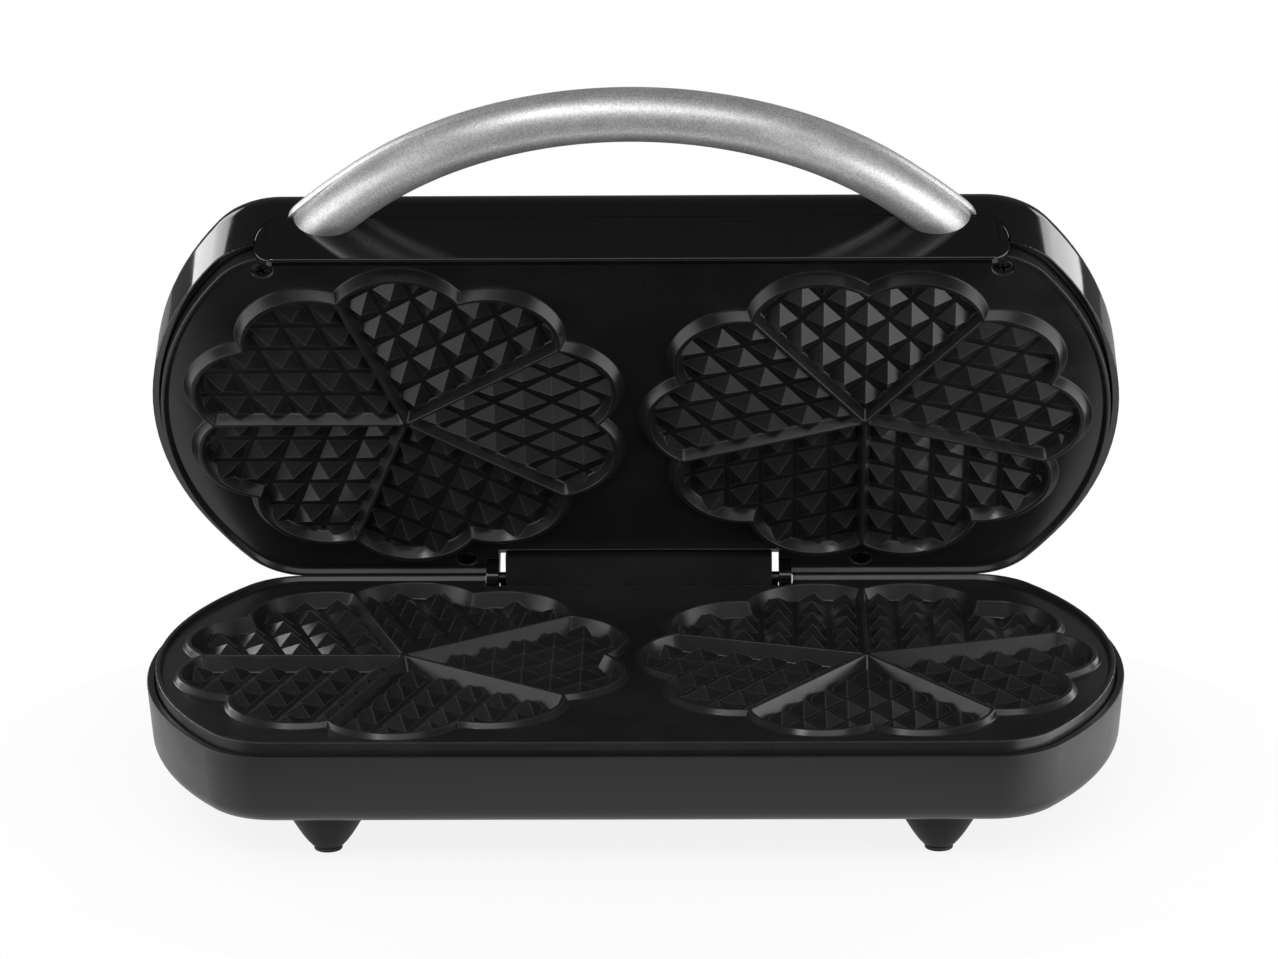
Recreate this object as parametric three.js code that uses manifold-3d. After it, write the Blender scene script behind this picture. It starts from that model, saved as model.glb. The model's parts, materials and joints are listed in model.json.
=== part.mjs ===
// Electric waffle maker for two waffles of five hearts each, with its lid open at the rest angle.
// Millimetres, +Z up, +X to the user's right, +Y to the rear. The foot pads stand on z = 0, and the
// origin lies under the middle of the part's overall box.
// Base pieces are modelled with z = 0 on the lower plate's flat land. Lid pieces are modelled lid-down:
// x as in the base, y toward the handle and z out of the upper plate, with z = 0 on its flat land.

import * as THREE from "three";
import { mergeVertices } from "three/addons/utils/BufferGeometryUtils.js";
import Module from "manifold-3d";

const wasm = await Module();
wasm.setup();

const degrees = THREE.MathUtils.degToRad;
const { PI, sin, cos, tan, hypot, atan2 } = Math;

// Heights, hinge and fits
const LAND_HEIGHT = 44; // lower plate's land above the table
const MOUTH = 6; // between the two lands with the lid closed
const HINGE_Y = 84.5;
const HINGE_Z = 1.5; // above the lower land
const OPEN_ANGLE = degrees(56.6);
const DEPTH_CENTRE = 10.66; // middle of the overall depth at the rest angle, where the origin lies
const GAP = 0.3; // between pieces that touch
const LID_AXIS = [-HINGE_Y, MOUTH - HINGE_Z]; // the hinge axis in the lid's own frame

// Plan of both plates: straight front and rear edges, corner arcs and flatter end arcs
const HALF_DEPTH = 87;
const CORNER_RADIUS = 26;
const END_RADIUS = 128;
const END_X = 37.2;
const CORNER_X = 118.95;
const CORNER_Y = HALF_DEPTH - CORNER_RADIUS;

// Plates
const SHEET = 3.5;
const SKIRT = 8;
const LIP_HEIGHT = 1.8;
const LIP_TOP = 1.4;
const LIP_FOOT = 2.4; // from the edge to where the lip's inner slope meets the land
const REAR_TRIM = 86.2; // both rear lips are cut back here so that they pass each other
const POCKET_X = 79.9;
const HEARTS = 5;
const SECTOR = (2 * PI) / HEARTS;
const LOBE_PITCH = SECTOR / 2;
const LOBE_CENTRE = 54;
const NOTCH_RADIUS = 70;
const DIVIDER_FOOT = 2.1; // half widths of a divider
const DIVIDER_CREST = 0.5;
const ROW_PITCH = 10.2;
const FIRST_ROW = 61.3;
const ROWS = 6;
const COLUMN_PITCH = 14.95;
const PYRAMID_HEIGHT = 3.7;
const LAST_PYRAMID = 68; // farthest from the pocket's centre
const PYRAMID_SHARE = 0.82; // of the lattice cell
const LOWER_PATTERN = {
  floor: -4, crest: 2, headings: [0, -PI / 2],
  scales: { foot: 1.022, outside: 1.003, inside: 0.984, base: 0.93 },
};
const UPPER_PATTERN = {
  floor: -1, crest: 3.4, headings: [0, PI / 2],
  scales: { foot: 1, outside: 0.966, inside: 0.946, base: 0.92 },
};

// Housing halves, each modelled rim up
const SHELL_GROW = 3.1; // beyond the plates' outline at the rim
const WALL = 2.6;
const RIM_CHAMFER = 0.7;
const BASE_HOUSING = { rim: -2.4, end: -27, draft: degrees(4.5), round: 6 };
const LID_HOUSING = { rim: -2.6, end: -29, draft: degrees(2), round: 10 };

// Hinge
const TOWER_HALF = 46.7;
const TOWER_RADIUS = 10;
const TOWER_FOOT = -10.4; // below the axis
const RECESS_HALF = 48.9;
const RECESS_RADIUS = 11.4;
const EAR_OUTER = 55;
const EAR_RADIUS = 4.3;
const PIN_RADIUS = 2;
const PIN_INNER = 41;
const PIN_OUTER = 53.5;

// Handle and its carrier
const HANDLE_RADIUS = 9;
const ARCH_RADIUS = 131.1;
const ARCH_Y = 8.9;
const ARCH_Z = -13.3;
const ROOT_X = 103;
const CARRIER_HALF = 126.9;
const CARRIER_Z = [-13.1, 6.4];
const CARRIER_GROW = [0.6, 3.3]; // its back and its face, beyond the plates' outline
const CARRIER_CORNERS = { low: 9.7, high: 7.5 }; // radii at either edge
const CARRIER_FACE = HALF_DEPTH + CARRIER_GROW[1];
const RAIL_FACE = HALF_DEPTH - 0.4;
const RAIL_BACK = RAIL_FACE - 2.4;
const RAIL_TOP = -SKIRT - 0.4;
const HANDLE_SCREW_Z = -10.8;
const HANDLE_SCREW_RADIUS = 1.3;
const RAIL_HALF = 112;

// Screws and feet
const fourCorners = (x, y) => ({
  front_left: [-x, -y],
  front_right: [x, -y],
  rear_left: [-x, y],
  rear_right: [x, y],
});
const UPPER_SCREWS = {
  front_left: [-125, 78],
  front_right: [125, 78],
  rear_left: [-62, -79.5],
  rear_right: [80, -79.5],
};
const LOWER_SCREWS = fourCorners(124, 76);
const FEET = fourCorners(102.5, 65);
const SCREW_RADIUS = 1.6;
const HEAD_RADIUS = 3.4;
const FOOT_TOP = 14;
const SPIGOT_RADIUS = 4;
const PAD_RADIUS = 4.8;
const PAD_STEM = 2;
const PAD_TOP = 1.4; // above the table

// Electrical parts
const TUBE_RADIUS = 3.2;
const HEATER_LOOP = 46;
const SHIELD_GROW = -18;
const SHIELD_SHEET = 0.8;
const SHIELD_POSTS = [[-60, -55], [60, -55], [-60, 55], [60, 55]];
const LOWER_SHIELD = LOWER_PATTERN.floor - SHEET - 2 * TUBE_RADIUS - 2 * GAP; // upper faces of the shields
const UPPER_SHIELD = UPPER_PATTERN.floor - SHEET - 2 * TUBE_RADIUS - 2 * GAP;
const GLAND_Z = -15.5;
const GLAND_RADIUS = 5;
const LENS_RADIUS = 3.4;
const LENS_X = 16;
const LENS_Y = 55;

const material = (color, roughness, metalness = 0) =>
  new THREE.MeshStandardMaterial({ color, roughness, metalness });
const GLOSS_BLACK = material(0x161617, 0.12);
const SATIN_BLACK = material(0x383737, 0.42);
const NON_STICK = material(0x242425, 0.38);
const SILVER_PAINT = material(0xb2b3b5, 0.36, 0.7);
const STEEL = material(0x9a9b9c, 0.35, 1);
const DARK_STEEL = material(0x4a4a4b, 0.4, 1);
const SHEET_METAL = material(0xc0c2c4, 0.3, 1);
const CERAMIC = material(0xe6e2d8, 0.6);
const RUBBER = material(0x202020, 0.85);
const RED_LENS = material(0xb3150f, 0.15);
const GREEN_LENS = material(0x1f8f3a, 0.15);

// ---- Solids from three.js geometry ----

// A closed three.js geometry as a solid that can be joined and cut.
function solid(geometry) {
  const bare = new THREE.BufferGeometry();
  bare.setAttribute("position", geometry.getAttribute("position"));
  if (geometry.index) bare.setIndex(geometry.index);
  const merged = mergeVertices(bare, 1e-4);
  const corners = merged.index.array;
  const kept = [];
  for (let i = 0; i < corners.length; i += 3) {
    const [a, b, c] = corners.slice(i, i + 3);
    if (a !== b && b !== c && c !== a) kept.push(a, b, c);
  }
  const vertProperties = new Float32Array(merged.attributes.position.array);
  return new wasm.Manifold(new wasm.Mesh({ numProp: 3, vertProperties, triVerts: new Uint32Array(kept) }));
}

// A solid as a three.js geometry again, to be copied, drawn or exported.
function geometryOf(body) {
  const { vertProperties, triVerts } = body.getMesh();
  const geometry = new THREE.BufferGeometry();
  geometry.setAttribute("position", new THREE.BufferAttribute(vertProperties, 3));
  geometry.setIndex(new THREE.BufferAttribute(triVerts, 1));
  const faceted = geometry.toNonIndexed();
  faceted.computeVertexNormals();
  return faceted;
}

const union = (bodies) => bodies.reduce((sum, body) => sum.add(body));
const cut = (body, tools) => tools.reduce((rest, tool) => rest.subtract(tool), body);

function piece(name, body, look) {
  const mesh = new THREE.Mesh(geometryOf(body), look);
  mesh.name = name;
  return mesh;
}

// Turns a geometry whose own axis is +Y so that the axis lies along x, y or z.
function aim(geometry, axis) {
  if (axis === "x") geometry.rotateZ(-PI / 2);
  if (axis === "z") geometry.rotateX(PI / 2);
  return geometry;
}

// Where a piece along an axis goes: at holds its two other coordinates, in x, y, z order.
function place(geometry, axis, along, at) {
  const [a, b] = at;
  if (axis === "x") return geometry.translate(along, a, b);
  if (axis === "y") return geometry.translate(a, along, b);
  return geometry.translate(a, b, along);
}

function block([x0, x1], [y0, y1], [z0, z1]) {
  const box = new THREE.BoxGeometry(x1 - x0, y1 - y0, z1 - z0);
  return solid(box.translate((x0 + x1) / 2, (y0 + y1) / 2, (z0 + z1) / 2));
}

// A round bar or cone between two points of an axis.
function rod(axis, [from, to], radius, at, { endRadius = radius, sides = 8 } = {}) {
  const bar = new THREE.CylinderGeometry(endRadius, radius, to - from, sides);
  return solid(place(aim(bar, axis), axis, (from + to) / 2, at));
}

// A flat outline drawn in the plane across an axis (y-z, x-z or x-y) and given thickness along it.
function prism(axis, shape, [from, to], { curveSegments = 6 } = {}) {
  const slab = new THREE.ExtrudeGeometry(shape, { depth: to - from, curveSegments, bevelEnabled: false });
  if (axis === "x") slab.rotateX(PI / 2).rotateZ(PI / 2).translate(from, 0, 0);
  if (axis === "y") slab.rotateX(PI / 2).translate(0, to, 0);
  if (axis === "z") slab.translate(0, 0, from);
  return solid(slab);
}

// A turned piece: the profile is [radius, distance along the axis], from start to end.
function turned(axis, profile, at, sides = 8) {
  const points = profile.map(([radius, along]) => new THREE.Vector2(radius, along));
  return solid(place(aim(new THREE.LatheGeometry(points, sides), axis), axis, 0, at));
}

// Joins arcs end to end, with straight lines between ends that don't meet.
function ringOf(arcs) {
  const points = arcs.flatMap(({ x, y, radius, from, to, steps }) =>
    new THREE.EllipseCurve(x, y, radius, radius, from, to).getPoints(steps),
  );
  return points.filter((p, i) => p.distanceTo(points[(i + 1) % points.length]) > 1e-6);
}

// Skins closed outlines of equally many points, from the lowest to the highest.
function loft(levels) {
  const count = levels[0].ring.length;
  const positions = levels.flatMap(({ ring, z }) => ring.flatMap((p) => [p.x, p.y, z]));
  const index = [];
  for (let level = 0; level + 1 < levels.length; level++) {
    for (let i = 0; i < count; i++) {
      const low = level * count;
      const next = (i + 1) % count;
      index.push(low + i, low + next, low + count + next);
      index.push(low + i, low + count + next, low + count + i);
    }
  }
  const last = (levels.length - 1) * count;
  for (const [a, b, c] of THREE.ShapeUtils.triangulateShape([...levels[0].ring], [])) {
    index.push(c, b, a, last + a, last + b, last + c);
  }
  const geometry = new THREE.BufferGeometry();
  geometry.setAttribute("position", new THREE.Float32BufferAttribute(positions, 3));
  geometry.setIndex(index);
  return solid(geometry);
}

// ---- Outlines ----

// The appliance's plan outline, grown outward by a distance.
function planRing(grow) {
  const corner = CORNER_RADIUS + grow;
  const meet = atan2(CORNER_Y, CORNER_X - END_X);
  const endArc = (side, from) => ({
    x: side * END_X, y: 0, radius: END_RADIUS + grow, from, to: from + 2 * meet, steps: 8,
  });
  const cornerArc = (sideX, sideY, from) => ({
    x: sideX * CORNER_X, y: sideY * CORNER_Y, radius: corner, from, to: from + PI / 2 - meet, steps: 3,
  });
  return ringOf([
    endArc(1, -meet),
    cornerArc(1, 1, meet),
    cornerArc(-1, 1, PI / 2),
    endArc(-1, PI - meet),
    cornerArc(-1, -1, PI + meet),
    cornerArc(1, -1, 1.5 * PI),
  ]);
}

// The plan outline swept through [grow, z] pairs.
const planLoft = (profile) => loft(profile.map(([grow, z]) => ({ ring: planRing(grow), z })));

// The outline of five joined hearts: ten round lobes about a pocket's centre, drawn at a scale.
function waffleRing(scale, heading, x) {
  const reach = NOTCH_RADIUS * cos(LOBE_PITCH / 2) - LOBE_CENTRE;
  const across = NOTCH_RADIUS * sin(LOBE_PITCH / 2);
  const half = atan2(across, reach);
  const arcs = [];
  for (let lobe = 0; lobe < 2 * HEARTS; lobe++) {
    const angle = heading + (lobe + 0.5) * LOBE_PITCH;
    arcs.push({
      x: x + scale * LOBE_CENTRE * cos(angle),
      y: scale * LOBE_CENTRE * sin(angle),
      radius: scale * hypot(across, reach),
      from: angle - half,
      to: angle + half,
      steps: 4,
    });
  }
  return ringOf(arcs);
}

const waffleLoft = (profile, heading, x) =>
  loft(profile.map(([scale, z]) => ({ ring: waffleRing(scale, heading, x), z })));

// ---- Baking plates ----

// A straight ridge from the pocket's centre, wide at its foot and narrow at its crest.
function divider({ floor, crest, scales }, angle, x) {
  const ring = (half) => {
    const end = NOTCH_RADIUS * scales.outside;
    const corners = [[0, -half], [end, -half], [end, half], [0, half]];
    return corners.map(([px, py]) =>
      new THREE.Vector2(px, py).rotateAround(new THREE.Vector2(), angle).add(new THREE.Vector2(x, 0)),
    );
  };
  return loft([
    { ring: ring(DIVIDER_FOOT), z: floor - 0.5 },
    { ring: ring(DIVIDER_CREST), z: crest },
  ]);
}

// One pyramid on a rhombic foot; it starts below the floor so that the two join.
function pyramid(floor, along, across) {
  const sink = 0.5;
  const grow = (PYRAMID_SHARE * (PYRAMID_HEIGHT + sink)) / PYRAMID_HEIGHT;
  const cone = aim(new THREE.ConeGeometry(1, PYRAMID_HEIGHT + sink, 4), "z");
  cone.scale(ROW_PITCH * grow, (COLUMN_PITCH / 2) * grow, 1);
  return solid(cone.translate(along, across, floor + (PYRAMID_HEIGHT - sink) / 2));
}

// The staggered pyramids of the heart that points along +X. They end inside its walls and dividers.
function heartField({ floor, crest, scales }) {
  const pyramids = [];
  for (let row = 0; row < ROWS; row++) {
    const along = FIRST_ROW - row * ROW_PITCH;
    const shift = row % 2 ? 0 : COLUMN_PITCH / 2;
    for (let column = -2; column <= 2; column++) {
      const across = column * COLUMN_PITCH + shift;
      const inSector = Math.abs(across) < along * tan(SECTOR / 2) + 1;
      if (inSector && hypot(along, across) < LAST_PYRAMID) pyramids.push(pyramid(floor, along, across));
    }
  }
  const spread = 80 * tan(SECTOR / 2);
  const corners = [[0.4, 0], [80, 0.3 - spread], [80, spread - 0.3]];
  const wedge = corners.map(([px, py]) => new THREE.Vector2(px, py));
  const middle = (scales.inside + scales.outside) / 2;
  return union(pyramids)
    .intersect(loft([{ ring: wedge, z: floor - 1 }, { ring: wedge, z: crest }]))
    .intersect(waffleLoft([[middle, floor - 1], [middle, crest]], 0, 0));
}

// A plate with two pockets, pattern up: sheet, skirt and lip, walls, dividers and pyramids.
function plateBody(pattern) {
  const { floor, crest, headings, scales } = pattern;
  const underside = floor - SHEET;
  const field = geometryOf(heartField(pattern));
  let plate = planLoft([[0, -SKIRT], [0, LIP_HEIGHT - 0.4], [-0.4, LIP_HEIGHT]]);
  plate = plate.subtract(planLoft([[-LIP_FOOT, 0], [-LIP_TOP, LIP_HEIGHT], [-LIP_TOP, LIP_HEIGHT + 1]]));
  plate = plate.subtract(planLoft([[-SHEET, -SKIRT - 1], [-SHEET, -SHEET]]));
  headings.forEach((heading, side) => {
    const x = side === 0 ? -POCKET_X : POCKET_X;
    const walls = [[scales.foot, underside], [scales.foot, 0], [scales.outside, crest]];
    const hollow = [[scales.base, floor], [scales.inside, crest], [scales.inside, crest + 1]];
    plate = plate.add(waffleLoft(walls, heading, x)).subtract(waffleLoft(hollow, heading, x));
    for (let heart = 0; heart < HEARTS; heart++) {
      const angle = heading + heart * SECTOR;
      plate = plate.add(divider(pattern, angle + SECTOR / 2, x));
      plate = plate.add(solid(field.clone().rotateZ(angle).translate(x, 0, 0)));
    }
  });
  return plate;
}

// Posts on the lower plate's underside take the deep-set screws.
function lowerPlate() {
  const posts = Object.values(LOWER_SCREWS).map((at) => rod("z", [-12, -SHEET + 0.5], 4, at));
  const pilots = Object.values(LOWER_SCREWS).map((at) => rod("z", [-13, -5], SCREW_RADIUS + GAP, at));
  return cut(union([plateBody(LOWER_PATTERN), ...posts]), [
    ...pilots,
    block([-200, 200], [REAR_TRIM, 100], [-20, 10]),
    block([-EAR_OUTER - 1.5, EAR_OUTER + 1.5], [79.3, 100], [-20, 10]),
  ]);
}

// The upper plate has countersunk holes, a wide cut over the tower and a notch round each ear.
function upperPlate() {
  const holes = Object.values(UPPER_SCREWS).flatMap((at) => [
    rod("z", [-SHEET - 1, 1], SCREW_RADIUS + 0.4, at),
    rod("z", [-2, 0.02], SCREW_RADIUS + 0.4, at, { endRadius: HEAD_RADIUS + 0.4 }),
  ]);
  return cut(plateBody(UPPER_PATTERN), [
    ...holes,
    block([-200, 200], [-100, -REAR_TRIM], [-20, 10]),
    block([-RECESS_HALF, RECESS_HALF], [-100, -74], [-20, 10]),
    block([-EAR_OUTER - 1, EAR_OUTER + 1], [-100, -79.3], [-20, 10]),
  ]);
}

// ---- Housing ----

const housingGrow = ({ rim, draft }, z) => SHELL_GROW - (rim - z) * tan(draft);

// The rounded closed edge as [grow, z] pairs, from the flat to the wall.
function roundedEdge(grow, z, radius, steps = 3) {
  return Array.from({ length: steps + 1 }, (_, i) => {
    const angle = ((PI / 2) * i) / steps;
    return [grow - radius + radius * sin(angle), z + radius - radius * cos(angle)];
  });
}

// The outside of one housing half, with a chamfered rim; swell makes a slightly larger copy.
function housingOutside(form, swell = 0) {
  const { rim, end, round } = form;
  const turn = end + round;
  return planLoft([
    ...roundedEdge(housingGrow(form, turn) + swell, end - swell, round),
    [housingGrow(form, rim - RIM_CHAMFER) + swell, rim - RIM_CHAMFER],
    [SHELL_GROW - RIM_CHAMFER + swell, rim],
  ]);
}

function housingInside(form) {
  const { rim, end, round } = form;
  const inner = round - WALL;
  return planLoft([
    ...roundedEdge(housingGrow(form, end + round) - WALL, end + WALL, inner, 2),
    [SHELL_GROW - WALL, rim - 7],
    [SHELL_GROW - WALL, rim + 1],
  ]);
}

// The posts that carry a heat shield.
const shieldPosts = ({ end }, top) => SHIELD_POSTS.map((at) => rod("z", [end + WALL - 0.5, top], 3.5, at));

// Runs a maker for the left and the right side; span mirrors an x range to that side.
function bothSides(make) {
  return [-1, 1].flatMap((side) => make((near, far) => (side < 0 ? [-far, -near] : [near, far]), side));
}

// The block in the middle of the base's rear edge that carries the pins, round on top about the axis.
function hingeTower() {
  const front = -4.5;
  const rear = HALF_DEPTH + SHELL_GROW - HINGE_Y;
  const outline = new THREE.Shape();
  outline.moveTo(front, TOWER_FOOT);
  outline.lineTo(rear - RIM_CHAMFER, TOWER_FOOT);
  outline.lineTo(rear, -5);
  outline.absarc(0, 0, TOWER_RADIUS, Math.acos(rear / TOWER_RADIUS), Math.acos(front / TOWER_RADIUS), false);
  const tower = prism("x", outline, [-TOWER_HALF, TOWER_HALF], { curveSegments: 5 });
  return solid(geometryOf(tower).translate(0, HINGE_Y, HINGE_Z));
}

function baseShell() {
  const { end } = BASE_HOUSING;
  const screws = Object.values(LOWER_SCREWS);
  const shell = housingOutside(BASE_HOUSING).subtract(housingInside(BASE_HOUSING));
  const shelf = [TOWER_HALF - 1, EAR_OUTER + 1.2];
  const earShelves = bothSides((span) => block(span(...shelf), [79.8, 88], [-8.6, -6]));
  const solids = [
    shell,
    hingeTower(),
    ...earShelves,
    ...screws.map((at) => rod("z", [end + 0.5, -12.3], 5, at)),
    ...shieldPosts(BASE_HOUSING, LOWER_SHIELD - SHIELD_SHEET - GAP),
  ];
  return cut(union(solids), [
    ...screws.map((at) => rod("z", [end - 1, -17], HEAD_RADIUS + 0.4, at)),
    ...screws.map((at) => rod("z", [-18, -11], SCREW_RADIUS + GAP, at)),
    ...Object.values(FEET).map((at) => rod("z", [end - 1, end + WALL + 1], SPIGOT_RADIUS + GAP, at)),
    ...bothSides((span) => block(span(TOWER_HALF, EAR_OUTER + 1), [80, 100], [-6, 20])),
    ...bothSides((span) =>
      rod("x", span(PIN_INNER - 0.5, TOWER_HALF + 1), PIN_RADIUS + GAP, [HINGE_Y, HINGE_Z]),
    ),
    rod("y", [80, 95], GLAND_RADIUS + GAP, [0, GLAND_Z]),
  ]);
}

// One round ear about the hinge axis, and the web that joins it to the lid's rear rim.
function hingeEar(span) {
  const [y, z] = LID_AXIS;
  const outline = new THREE.Shape();
  outline.moveTo(y - EAR_RADIUS, z);
  outline.lineTo(-HALF_DEPTH - SHELL_GROW + 0.3, -4);
  outline.lineTo(y + EAR_RADIUS, -4);
  outline.lineTo(y + EAR_RADIUS, z);
  outline.absarc(y, z, EAR_RADIUS, 0, PI, false);
  return prism("x", outline, span, { curveSegments: 6 });
}

// The carrier's outline seen from the front, grown for the opening in the lid's wall that it fills.
function carrierOutline(grow) {
  const [low, high] = CARRIER_Z;
  const corners = CARRIER_CORNERS;
  const outline = new THREE.Shape();
  for (const [side, z, radius, from] of [
    [1, low, corners.low, 1.5 * PI],
    [1, high, corners.high, 0],
    [-1, high, corners.high, PI / 2],
    [-1, low, corners.low, PI],
  ]) {
    const middle = z === low ? z + radius : z - radius;
    outline.absarc(side * (CARRIER_HALF - radius), middle, radius + grow, from, from + PI / 2, false);
  }
  return outline;
}

function lidShell() {
  const { end } = LID_HOUSING;
  const screws = Object.values(UPPER_SCREWS);
  const outside = housingOutside(LID_HOUSING);
  const tunnel = rod("x", [-RECESS_HALF - 2, RECESS_HALF + 2], RECESS_RADIUS + 2, LID_AXIS, { sides: 24 })
    .intersect(outside)
    .intersect(block([-60, 60], [-100, -60], [end, -SHEET - GAP]));
  const solids = [
    outside.subtract(housingInside(LID_HOUSING)),
    tunnel,
    ...bothSides((span) => hingeEar(span(RECESS_HALF, EAR_OUTER))),
    ...screws.map((at) => rod("z", [end + 1, -SHEET - GAP], 3.6, at)),
    ...shieldPosts(LID_HOUSING, UPPER_SHIELD - SHIELD_SHEET - GAP),
  ];
  return cut(union(solids), [
    rod("x", [-RECESS_HALF, RECESS_HALF], RECESS_RADIUS, LID_AXIS, { sides: 24 }),
    ...bothSides((span) => rod("x", span(RECESS_HALF - 1, EAR_OUTER + 1), PIN_RADIUS + GAP, LID_AXIS)),
    ...screws.map((at) => rod("z", [-13, 0], SCREW_RADIUS + GAP, at)),
    prism("y", carrierOutline(0.4), [80, 95]),
    ...bothSides((_, side) =>
      rod("z", [end - 1, end + WALL + 1], LENS_RADIUS + GAP, [side * LENS_X, LENS_Y]),
    ),
  ]);
}

// ---- Handle ----

// The front panel under the handle follows the lid's plan, with a rail that hooks behind the front wall.
function handleCarrier() {
  const [backGrow, faceGrow] = CARRIER_GROW;
  const back = HALF_DEPTH + backGrow;
  const [low, high] = CARRIER_Z;
  const panel = planLoft([[faceGrow, low - 1], [faceGrow, high + 1]])
    .subtract(planLoft([[backGrow, low - 2], [backGrow, high + 2]]))
    .intersect(prism("y", carrierOutline(0), [back - 4, back + 4]));
  const bridge = block([-RAIL_HALF, RAIL_HALF], [RAIL_FACE - 1, back + 1], [low + 0.4, RAIL_TOP]);
  const rail = block([-RAIL_HALF, RAIL_HALF], [RAIL_BACK, RAIL_FACE], [low - 5, RAIL_TOP]);
  const holes = bothSides((_, side) =>
    rod("y", [80, 95], HANDLE_SCREW_RADIUS + GAP, [side * ROOT_X, HANDLE_SCREW_Z]),
  );
  return cut(union([panel, bridge, rail]), holes);
}

const archRing = (radius) =>
  solid(new THREE.TorusGeometry(ARCH_RADIUS, radius, 12, 56).translate(0, ARCH_Y, ARCH_Z));

// The half that faces the user when the lid is open. Its roots are solid and take the screws.
function handleFront() {
  const standing = block([-150, 150], [CARRIER_FACE + GAP, 160], [ARCH_Z + GAP / 2, 20]);
  const hollow = archRing(HANDLE_RADIUS - 2.5).intersect(block([-150, 150], [106, 160], [-40, 20]));
  const pilots = bothSides((_, side) =>
    rod("y", [88, 97.5], HANDLE_SCREW_RADIUS + GAP, [side * ROOT_X, HANDLE_SCREW_Z]),
  );
  return cut(archRing(HANDLE_RADIUS).intersect(standing), [hollow, ...pilots]);
}

// The half that faces away. It flares at the roots and lands on the lid's wall.
function handleRear() {
  const lean = Math.acos(ROOT_X / ARCH_RADIUS);
  const root = new THREE.Vector2(ROOT_X, ARCH_Y + ARCH_RADIUS * sin(lean));
  const flares = bothSides((_, side) => {
    const cone = new THREE.CylinderGeometry(HANDLE_RADIUS, HANDLE_RADIUS + 1.3, 16, 16);
    cone.translate(0, 3, 0).rotateZ(side * lean).translate(side * root.x, root.y, ARCH_Z);
    return solid(cone);
  });
  const standing = block([-150, 150], [80, 160], [-60, ARCH_Z - GAP / 2]);
  return cut(union([archRing(HANDLE_RADIUS), ...flares]).intersect(standing), [
    housingOutside(LID_HOUSING, GAP),
    block([-150, 150], [60, CARRIER_FACE + GAP], [CARRIER_Z[0] - GAP, 0]),
    archRing(HANDLE_RADIUS - 2.5).intersect(block([-150, 150], [106, 160], [-40, 20])),
  ]);
}

// ---- Small and inner pieces ----

// A round foot that tapers in a convex curve, with a spigot above and a socket for its pad below.
function foot(at) {
  const top = BASE_HOUSING.end - GAP;
  const bottom = PAD_TOP + GAP - LAND_HEIGHT;
  const spigot = top + WALL + 1.5;
  const body = turned("z", [
    [0, bottom], [PAD_RADIUS, bottom], [PAD_RADIUS + 1.6, bottom + 1.2], [9.6, -36.6], [12.6, -31.4],
    [FOOT_TOP, top - 1], [FOOT_TOP, top], [SPIGOT_RADIUS, top], [SPIGOT_RADIUS, spigot], [0, spigot],
  ], at, 12);
  return body.subtract(rod("z", [bottom - 1, bottom + 3.2], PAD_STEM + GAP, at));
}

function footPad(at) {
  const bottom = -LAND_HEIGHT;
  const top = PAD_TOP - LAND_HEIGHT;
  const stem = [[PAD_STEM, top], [PAD_STEM, top + 3], [0, top + 3]];
  return turned("z", [[0, bottom], [PAD_RADIUS, bottom], [PAD_RADIUS, top], ...stem], at);
}

// Pan-head screw from below, its head in the deep recess of its boss.
const lowerScrew = (at) =>
  turned("z", [
    [0, -19.6], [HEAD_RADIUS, -19.6], [HEAD_RADIUS, -17.3],
    [SCREW_RADIUS, -17.3], [SCREW_RADIUS, -5.6], [0, -5.6],
  ], at);

const countersunkScrew = (at) =>
  turned("z", [
    [0, -12], [SCREW_RADIUS, -12], [SCREW_RADIUS, -1.95],
    [HEAD_RADIUS, -0.2], [HEAD_RADIUS, -0.1], [0, -0.1],
  ], at);

function handleScrew(side) {
  const [head, seat, tip] = [81.4, RAIL_BACK - GAP, 97];
  return turned("y", [
    [0, head], [HEAD_RADIUS - 1, head], [HEAD_RADIUS - 1, seat],
    [HANDLE_SCREW_RADIUS, seat], [HANDLE_SCREW_RADIUS, tip], [0, tip],
  ], [side * ROOT_X, HANDLE_SCREW_Z]);
}

// A heating tube that passes under all ten hearts; both ends come out at the rear.
function heater(z) {
  const bend = 10;
  const route = new THREE.Path();
  route.moveTo(-14, 62);
  route.lineTo(-14, HEATER_LOOP + bend);
  route.absarc(-14 - bend, HEATER_LOOP + bend, bend, 0, -PI / 2, true);
  route.absarc(-POCKET_X, 0, HEATER_LOOP, PI / 2, 1.5 * PI, false);
  route.absarc(POCKET_X, 0, HEATER_LOOP, -PI / 2, PI / 2, false);
  route.absarc(14 + bend, HEATER_LOOP + bend, bend, -PI / 2, -PI, true);
  route.lineTo(14, 62);
  const points = route.getSpacedPoints(64).map(({ x, y }) => new THREE.Vector3(x, y, z));
  const section = new THREE.Shape();
  section.absarc(0, 0, TUBE_RADIUS, 0, 2 * PI, false);
  const extrudePath = new THREE.CatmullRomCurve3(points);
  return solid(new THREE.ExtrudeGeometry(section, { extrudePath, steps: 36, curveSegments: 3 }));
}

// A shallow tray of thin sheet under a heater; z is the height of its upper face.
function heatShield(z) {
  const inner = SHIELD_GROW - SHIELD_SHEET;
  return planLoft([[SHIELD_GROW, z - SHIELD_SHEET], [SHIELD_GROW, z + 5]])
    .subtract(planLoft([[inner, z], [inner, z + 6]]));
}

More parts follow.
